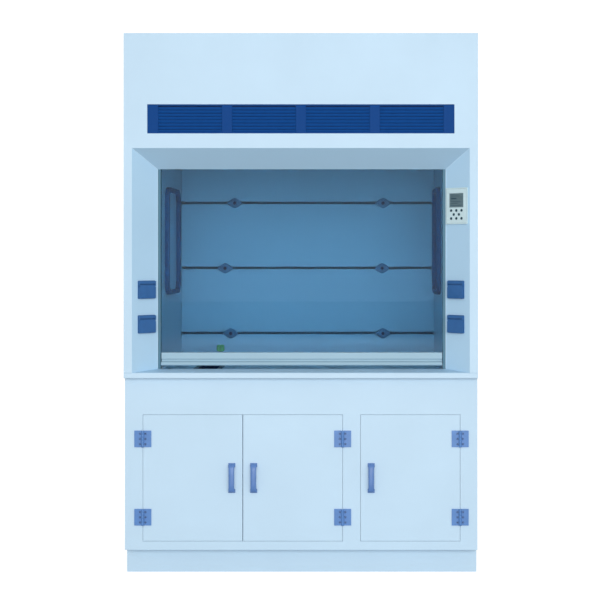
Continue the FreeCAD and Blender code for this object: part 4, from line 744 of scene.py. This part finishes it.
def make_cables():
    """Each side: a run up from the shoe, a bend over the pulley and a run down to the weight."""
    shoe_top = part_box("sash_shoes")[1].z
    weight_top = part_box("counterweights")[1].z
    pulley_low, pulley_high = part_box("sash_pulleys")
    axle_z = (pulley_low.z + pulley_high.z) / 2
    axle_y = (pulley_low.y + pulley_high.y) / 2
    front_y, rear_y = axle_y - PULLEY_RADIUS, axle_y + PULLEY_RADIUS
    rise, fall, bend = bmesh.new(), bmesh.new(), bmesh.new()
    sash_ferrules, weight_ferrules = bmesh.new(), bmesh.new()
    sash_ferrule = [(0.0034, -0.002, 0), (0.0038, 0, 0), (0.0038, 0.014, 0), (0.0030, 0.016, 0)]
    weight_ferrule = [(0.0060, -0.001, 0), (0.0060, 0.005, 0), (0.0038, 0.006, 0), (0.0038, 0.018, 0),
                      (0.0030, 0.020, 0)]
    for x in (-CABLE_X, CABLE_X):
        add_wire_rope(rise, [(x, front_y, z) for z in steps(shoe_top, axle_z, RISE_RINGS)])
        add_wire_rope(fall, [(x, rear_y, z) for z in steps(weight_top, axle_z, FALL_RINGS)])
        add_wire_rope(bend, [
            (x, axle_y - PULLEY_RADIUS * math.cos(turn), axle_z + PULLEY_RADIUS * math.sin(turn))
            for turn in steps(0, math.pi, BEND_RINGS)
        ])
        add_turned(sash_ferrules, sash_ferrule, Matrix.Translation((x, front_y, shoe_top)), sides=24)
        add_turned(weight_ferrules, weight_ferrule, Matrix.Translation((x, rear_y, weight_top)), sides=24)
    rising = finish_mesh("cable_rise", rise, "bare_steel", None)
    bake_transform(rising)
    falling = finish_mesh("cable_fall", fall, "bare_steel", None)
    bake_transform(falling)
    bent = finish_mesh("cable_bend", bend, "bare_steel", "root")
    for piece in (rising, falling, bent):
        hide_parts("sash_cables")
    finish_mesh("cable_ferrules_sash", sash_ferrules, "bare_aluminium", "sash")
    finish_mesh("cable_ferrules_weights", weight_ferrules, "bare_aluminium", "counterweights")


# --- Details of the controller and the sockets on the splayed panels ---

SPLAY_TURN = math.atan2(SURROUND_DEPTH, OPENING_HALF - THROAT_HALF)


def splay_matrix(side):
    """The frame of a splayed side panel: +X along it, +Y into it, with its face at Y = 0."""
    middle = Vector((side * (OPENING_HALF + THROAT_HALF) / 2, FRONT_Y + SURROUND_DEPTH / 2, 0))
    return Matrix.Translation(middle) @ Matrix.Rotation(-side * SPLAY_TURN, 4, "Z")


# The controller: the face of its panel, its middle along the splayed panel, and its read-out.
CONTROLLER_FACE = -0.006
CONTROLLER_MIDDLE = -0.003
READOUT_HALF_WIDTH = 0.029
READOUT_BARS = [
    # middle height, width, thickness
    (1.6115, 0.046, 0.0022),
    (1.6010, 0.030, 0.0060),
    (1.5890, 0.050, 0.0022),
    (1.5800, 0.038, 0.0022),
    (1.5720, 0.054, 0.0016),
]
CONTROLLER_RIMS = [
    # half width, bottom, top, line width, rise from the face
    (0.0365, 1.5630, 1.6240, 0.0016, 0.0008),
    (0.0520, 1.4960, 1.6430, 0.0008, 0.0003),
]


def make_display():
    """Generic read-out bars, a bezel and a printed border on the controller."""
    right = splay_matrix(1)
    bars = bmesh.new()
    left_end = CONTROLLER_MIDDLE - READOUT_HALF_WIDTH
    for z, width, thickness in READOUT_BARS:
        add_box(bars, (left_end, CONTROLLER_FACE - 0.00005, z - thickness / 2),
                (left_end + width, CONTROLLER_FACE + 0.0004, z + thickness / 2), right)
    finish_mesh("display_bars", bars, "key_dark", "root")
    rims = bmesh.new()
    for half, low, high, line, rise in CONTROLLER_RIMS:
        x0, x1 = CONTROLLER_MIDDLE - half, CONTROLLER_MIDDLE + half
        y0, y1 = CONTROLLER_FACE - rise, CONTROLLER_FACE + 0.0002
        add_box(rims, (x0, y0, low), (x1, y1, low + line), right)
        add_box(rims, (x0, y0, high - line), (x1, y1, high), right)
        add_box(rims, (x0, y0, low + line), (x0 + line, y1, high - line), right)
        add_box(rims, (x1 - line, y0, low + line), (x1, y1, high - line), right)
    finish_mesh("controller_rims", rims, "rim_grey", "root")


# Node of each socket's lid: the body it is and the side it is on.
LIDS = {
    "socket_lid_high_right": ("lid_high_right", 1),
    "socket_lid_low_right": ("lid_low_right", 1),
    "socket_lid_high_left": ("lid_high_left", -1),
    "socket_lid_low_left": ("lid_low_left", -1),
}

# The sockets sit this far from the middle of their panels, towards the sash.
SOCKET_INSET = 0.007

# The finger lip: half its length, its front, its back in the lid, and its height above the lid's foot.
LIP_HALF_LENGTH = 0.025
LIP_FRONT, LIP_BACK = -0.0136, -0.0112
LIP_BOTTOM, LIP_TOP = 0.0006, 0.0046
LIP_ROUNDING = 0.0008


def make_lid_lips():
    """A finger lip along the bottom of each lid."""
    for node, (body, side) in LIDS.items():
        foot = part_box(node)[0].z
        middle = -side * SOCKET_INSET
        builder = bmesh.new()
        add_box(builder, (middle - LIP_HALF_LENGTH, LIP_FRONT, foot + LIP_BOTTOM),
                (middle + LIP_HALF_LENGTH, LIP_BACK, foot + LIP_TOP), splay_matrix(side))
        lip = finish_mesh(node + "_lip", builder, "socket_blue", body)
        soften(lip, LIP_ROUNDING, segments=3)


# --- Sink strainer, trap collars and lamp ---

CUP_DEPTH = 0.141
STRAINER_RADIUS = 0.0240
GRATING_RADIUS = 0.0172
GRATING_PITCH = 0.0052
GRATING_BARS_A_SIDE = 3
GRATING_BAR_HALF = 0.0011


def make_strainer():
    """A slotted grating over the drain at the bottom of the cup."""
    low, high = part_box("cup_sink")
    centre = (low + high) / 2
    bottom = high.z - CUP_DEPTH
    builder = bmesh.new()
    rim = [(STRAINER_RADIUS, 0, 0), (STRAINER_RADIUS, 0.0014, 0), (STRAINER_RADIUS - 0.0012, 0.0022, 0),
           (GRATING_RADIUS, 0.0022, 0), (GRATING_RADIUS - 0.0002, 0.0004, 0)]
    add_turned(builder, rim, Matrix.Translation((centre.x, centre.y, bottom)), sides=48)
    for index in range(-GRATING_BARS_A_SIDE, GRATING_BARS_A_SIDE + 1):
        across = index * GRATING_PITCH
        half = math.sqrt(GRATING_RADIUS ** 2 - across ** 2)
        x = centre.x + across
        add_box(builder, (x - GRATING_BAR_HALF, centre.y - half, bottom + 0.0002),
                (x + GRATING_BAR_HALF, centre.y + half, bottom + 0.0020))
    finish_mesh("sink_strainer", builder, "bare_steel", "root")


# The trap: the pipes its nuts fit, how far the nuts stand out, their length, and the cup below.
TAIL_RADIUS = 0.0205
OUTLET_RADIUS = 0.0225
OUTLET_Z = 0.640
OUTLET_START = 0.0365
NUT_WALL = 0.0085
NUT_LENGTH = 0.0220
TRAP_CUP_RADIUS = 0.0362
CUP_RING_RADIUS = 0.0385
CUP_RING_LENGTH = 0.0215
CUP_RING_RISE = 0.030


def make_trap_collars():
    """Ribbed union nuts on the trap's tail and on its outlet, and a ribbed ring round its cup."""
    low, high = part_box("sink_trap")
    sink_low, sink_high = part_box("cup_sink")
    x = (sink_low.x + sink_high.x) / 2
    y = (sink_low.y + sink_high.y) / 2
    builder = bmesh.new()
    nuts = [
        (TAIL_RADIUS, Matrix.Translation((x, y, high.z))),
        (OUTLET_RADIUS, facing((0, 1, 0), Vector((x, y + OUTLET_START, OUTLET_Z)))),
    ]
    for pipe, matrix in nuts:
        shoulder, crest = pipe + NUT_WALL - 0.0020, pipe + NUT_WALL
        profile = [(pipe, 0, 0), (shoulder, 0, 0), (crest, 0.0020, 1), (crest, NUT_LENGTH - 0.0020, 1),
                   (shoulder, NUT_LENGTH, 0), (pipe, NUT_LENGTH, 0)]
        add_turned(builder, profile, matrix, sides=FLUTED_SIDES, flutes=16, flute_depth=0.0016)
    ring = [(TRAP_CUP_RADIUS, 0, 0), (CUP_RING_RADIUS, 0.0015, 1),
            (CUP_RING_RADIUS, CUP_RING_LENGTH - 0.0015, 1), (TRAP_CUP_RADIUS, CUP_RING_LENGTH, 0)]
    add_turned(builder, ring, Matrix.Translation((x, y, low.z + CUP_RING_RISE)), sides=FLUTED_SIDES,
               flutes=20, flute_depth=0.0016)
    finish_mesh("trap_collars", builder, "black_plastic", "root", smooth=30)


# The lamp's two tubes: half the way between them, their sizes, and the room they keep from the housing.
TUBE_HALF_SPACING = 0.028
TUBE_RADIUS = 0.008
TUBE_CAP_RADIUS = 0.0092
TUBE_CAP_HALF = 0.012
TUBE_DROP = 0.024
TUBE_END_ROOM = 0.030


def make_lamp_tubes():
    """Two tubes with end caps inside the sealed lamp housing."""
    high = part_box("lamp_housing")[1]
    z = high.z - TUBE_DROP
    half = high.x - TUBE_END_ROOM
    tubes = bmesh.new()
    caps = bmesh.new()
    for y in (-TUBE_HALF_SPACING, TUBE_HALF_SPACING):
        add_tube(tubes, [(x, y, z) for x in (-half, half)], TUBE_RADIUS, sides=20)
        for end in (-1, 1):
            ends = [(end * (half - TUBE_CAP_HALF), y, z), (end * (half + TUBE_CAP_HALF), y, z)]
            add_tube(caps, ends, TUBE_CAP_RADIUS, sides=20)
    finish_mesh("lamp_tubes", tubes, "shoe_white", "root")
    finish_mesh("lamp_caps", caps, "bare_aluminium", "root")


# --- Weld beads, a dark sheet of painted shade behind the louvre, and the screws of the top and the back ---

BEAD_RIPPLE = 0.0045
BEAD_SIDES = 8
CHAMBER_BEAD = 0.0028
MITRE_BEAD = 0.0014
THROAT_BEAD = 0.0018
COLLAR_BEAD = 0.0026
COLLAR_BEAD_STEPS = 300

# A bead stands off its corner a little, and starts or stops short of the next part. Along the ceiling
# it runs on past the front of the baffles, and at the throat it ends above the worktop.
BEAD_LIFT = 0.0005
BEAD_END_GAP = 0.004
CEILING_BEAD_RUN_ON = 0.12
THROAT_BEAD_FOOT = 0.012

# The dark sheet of painted shade behind the louvre: its inset, its gap behind the slats and its thickness.
SHADE_SHEET_INSET = 0.004
SHADE_SHEET_GAP = 0.0003
SHADE_SHEET_THICKNESS = 0.0008

CHAMBER_HALF = 0.6045
COLLAR_RADIUS = 0.1258
COLLAR_FLANGE = 0.008
COLLAR_SCREWS = 8
COLLAR_SCREW_CIRCLE = 0.142


def rippled(radius, count):
    """The radii along a bead: they swell and shrink by a tenth as the rod was laid."""
    return [radius * (1 + 0.10 * math.cos(math.pi * index)) for index in range(count)]


def add_bead(builder, start, end, radius=CHAMBER_BEAD):
    """A hand-welded bead along a straight joint."""
    begin, finish = Vector(start), Vector(end)
    count = max(4, int((finish - begin).length / (BEAD_RIPPLE / 2)))
    path = [begin.lerp(finish, index / (count - 1)) for index in range(count)]
    add_tube(builder, path, rippled(radius, count), sides=BEAD_SIDES)


def collar_middle():
    """The collar's axis where it meets the top of its flange."""
    low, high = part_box("exhaust_collar")
    return Vector((0, (low.y + high.y) / 2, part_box("top_panel")[1].z + COLLAR_FLANGE))


def make_weld_beads():
    """Beads in the corners of the chamber, along the splayed panels and round the collar."""
    builder = bmesh.new()
    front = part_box("liner_sides")[0].y + BEAD_END_GAP
    baffle_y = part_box("baffle_plates")[0].y
    ceiling_z, floor_z = CEILING_Z - BEAD_LIFT, WORKTOP_TOP + BEAD_LIFT
    for side in (-1, 1):
        x = side * CHAMBER_HALF
        add_bead(builder, (x, front, ceiling_z), (x, baffle_y + CEILING_BEAD_RUN_ON, ceiling_z))
        add_bead(builder, (x, front, floor_z), (x, baffle_y - BEAD_END_GAP, floor_z))
        front_edge = Vector((side * OPENING_HALF, FRONT_Y + 0.001, SPLAY_FRONT_Z))
        throat_edge = Vector((side * THROAT_HALF, FRONT_Y + SURROUND_DEPTH - 0.001, SPLAY_THROAT_Z))
        add_bead(builder, front_edge, throat_edge, MITRE_BEAD)
        add_bead(builder, throat_edge, (*throat_edge.xy, WORKTOP_TOP + THROAT_BEAD_FOOT), THROAT_BEAD)
    middle = collar_middle()
    turns = [2 * math.pi * index / COLLAR_BEAD_STEPS for index in range(COLLAR_BEAD_STEPS)]
    ring = [middle + COLLAR_RADIUS * Vector((math.cos(turn), math.sin(turn), 0)) for turn in turns]
    add_tube(builder, ring, rippled(COLLAR_BEAD, COLLAR_BEAD_STEPS), sides=BEAD_SIDES, closed=True)
    finish_mesh("weld_beads", builder, "pale_sheet", "root", smooth=60)


def pan_head(rim, crown, top):
    """A pan head's profile, from the heights of its rim, its shoulder and its top."""
    return [(0.0050, -0.0005, 0), (0.0050, rim, 0), (0.0040, crown, 0), (0.0018, top, 0)]


def make_back_screws():
    """Pan-head screws along the edges of the two back panels."""
    plinth_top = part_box("base_floor")[0].z
    panels = [
        # half the width across the screws, bottom row, top row, rear face, and steps across and up
        (0.735, WORKTOP_TOP + 0.030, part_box("top_panel")[1].z - 0.030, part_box("back_panels")[1].y, 6, 6),
        (0.715, plinth_top + 0.030, WORKTOP_TOP - 0.060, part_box("base_floor")[1].y, 6, 4),
    ]
    builder = bmesh.new()
    profile = pan_head(0.0010, 0.0022, 0.0028)
    for half, low, high, face, across, up in panels:
        rows = {(x, z) for x in steps(-half, half, across) for z in (low, high)}
        columns = {(x, z) for x in (-half, half) for z in steps(low, high, up)}
        for x, z in sorted(rows | columns):
            add_turned(builder, profile, facing((0, 1, 0), Vector((x, face, z))), sides=20)
    finish_mesh("back_screws", builder, "bare_steel", "root")


def make_louvre_shade_sheet():
    """A dark sheet behind the louvre's slats: painted shade, so the gaps between them read dark."""
    low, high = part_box("bypass_louvre")
    builder = bmesh.new()
    add_box(builder, (low.x + SHADE_SHEET_INSET, high.y + SHADE_SHEET_GAP, low.z + SHADE_SHEET_INSET),
            (high.x - SHADE_SHEET_INSET, high.y + SHADE_SHEET_GAP + SHADE_SHEET_THICKNESS, high.z - SHADE_SHEET_INSET))
    finish_mesh("louvre_shade_sheet", builder, "louvre_shade_dark", "root")


def make_collar_screws():
    """Eight pan-head screws through the collar's flange into the top panel."""
    builder = bmesh.new()
    for index in range(COLLAR_SCREWS):
        turn = 2 * math.pi * (index + 0.5) / COLLAR_SCREWS
        spot = collar_middle() + COLLAR_SCREW_CIRCLE * Vector((math.cos(turn), math.sin(turn), 0))
        add_turned(builder, pan_head(0.0012, 0.0026, 0.0032), Matrix.Translation(spot), sides=24)
    finish_mesh("collar_screws", builder, "bare_steel", "root")


# --- Camera, light and floor ---

# The camera stands square to the front, at eye level, and shifts its lens to frame the object.
EYE = (0.258, -5.785, 1.373)
FOCAL_LENGTH = 76
SENSOR_WIDTH = 36
LENS_SHIFT = (-0.103, -0.080)

# The white surround: how strongly it lights the object, and how bright the camera sees it.
WORLD_LIGHT = 0.60
WORLD_SEEN = 1.1


def make_camera():
    """Straight on to the front and a little to the right of the middle."""
    data = bpy.data.cameras.new("camera")
    data.lens = FOCAL_LENGTH
    data.sensor_width = SENSOR_WIDTH
    data.shift_x, data.shift_y = LENS_SHIFT
    camera = bpy.data.objects.new("camera", data)
    camera.location = EYE
    camera.rotation_euler = (math.radians(90), 0, 0)
    bpy.context.scene.collection.objects.link(camera)
    bpy.context.scene.camera = camera


def area_light(name, spot, target, size, power):
    """A white rectangular light at a spot, turned to a target."""
    data = bpy.data.lights.new(name, "AREA")
    data.shape = "RECTANGLE"
    data.size, data.size_y = size
    data.energy = power
    light = bpy.data.objects.new(name, data)
    light.location = spot
    light.rotation_euler = (Vector(target) - Vector(spot)).to_track_quat("-Z", "Y").to_euler()
    bpy.context.scene.collection.objects.link(light)


def make_world():
    """A white surround, which the camera sees brighter than it lights the object."""
    world = bpy.data.worlds.new("studio")
    world.use_nodes = True
    tree = world.node_tree
    background = tree.nodes["Background"]
    background.inputs["Color"].default_value = (1, 1, 1, 1)
    path = tree.nodes.new("ShaderNodeLightPath")
    span = tree.nodes.new("ShaderNodeMapRange")
    span.inputs["To Min"].default_value = WORLD_LIGHT
    span.inputs["To Max"].default_value = WORLD_SEEN
    tree.links.new(path.outputs["Is Camera Ray"], span.inputs["Value"])
    tree.links.new(span.outputs["Result"], background.inputs["Strength"])
    bpy.context.scene.world = world


def make_floor():
    """A pale matt floor, which the camera sees as white as the surround."""
    builder = bmesh.new()
    bmesh.ops.create_grid(builder, x_segments=1, y_segments=1, size=30)
    mesh = bpy.data.meshes.new("studio_floor")
    builder.to_mesh(mesh)
    builder.free()
    floor = bpy.data.objects.new("studio_floor", mesh)
    paint = Paint("floor_paint", Specular_IOR_Level=0.1)
    paint.feed("Base Color", paint.mixed(
        paint.spread(paint.noise(1.2), 0, 1), (0.56, 0.56, 0.56), (0.59, 0.59, 0.59)))
    paint.feed("Roughness", paint.spread(paint.noise(8), 0.8, 0.95))
    paint.only_seen(0.72)
    mesh.materials.append(paint.material)
    bpy.context.scene.collection.objects.link(floor)


def make_studio():
    """An even white studio: a broad key light above the camera and a low fill for the plinth."""
    make_world()
    area_light("key", spot=(2.2, -14.0, 4.9), target=(0, -0.2, 1.1), size=(12.0, 4.0), power=925)
    area_light("low_fill", spot=(0.1, -6.4, 0.2), target=(0, -0.4, 0.2), size=(3.0, 0.3), power=66)
    bpy.context.scene.view_settings.view_transform = "Standard"
    make_floor()


# --- The whole model ---

finish_cad_nodes()
for handle_node, door_body in HANDLE_NODES.items():
    make_handle(handle_node, door_body)
make_hinge_screws()
make_baffle_knobs()
make_tap_knob()
make_cables()
make_display()
make_lid_lips()
make_strainer()
make_trap_collars()
make_lamp_tubes()
make_weld_beads()
make_louvre_shade_sheet()
make_collar_screws()
make_back_screws()
make_camera()
make_studio()

bpy.context.view_layer.update()
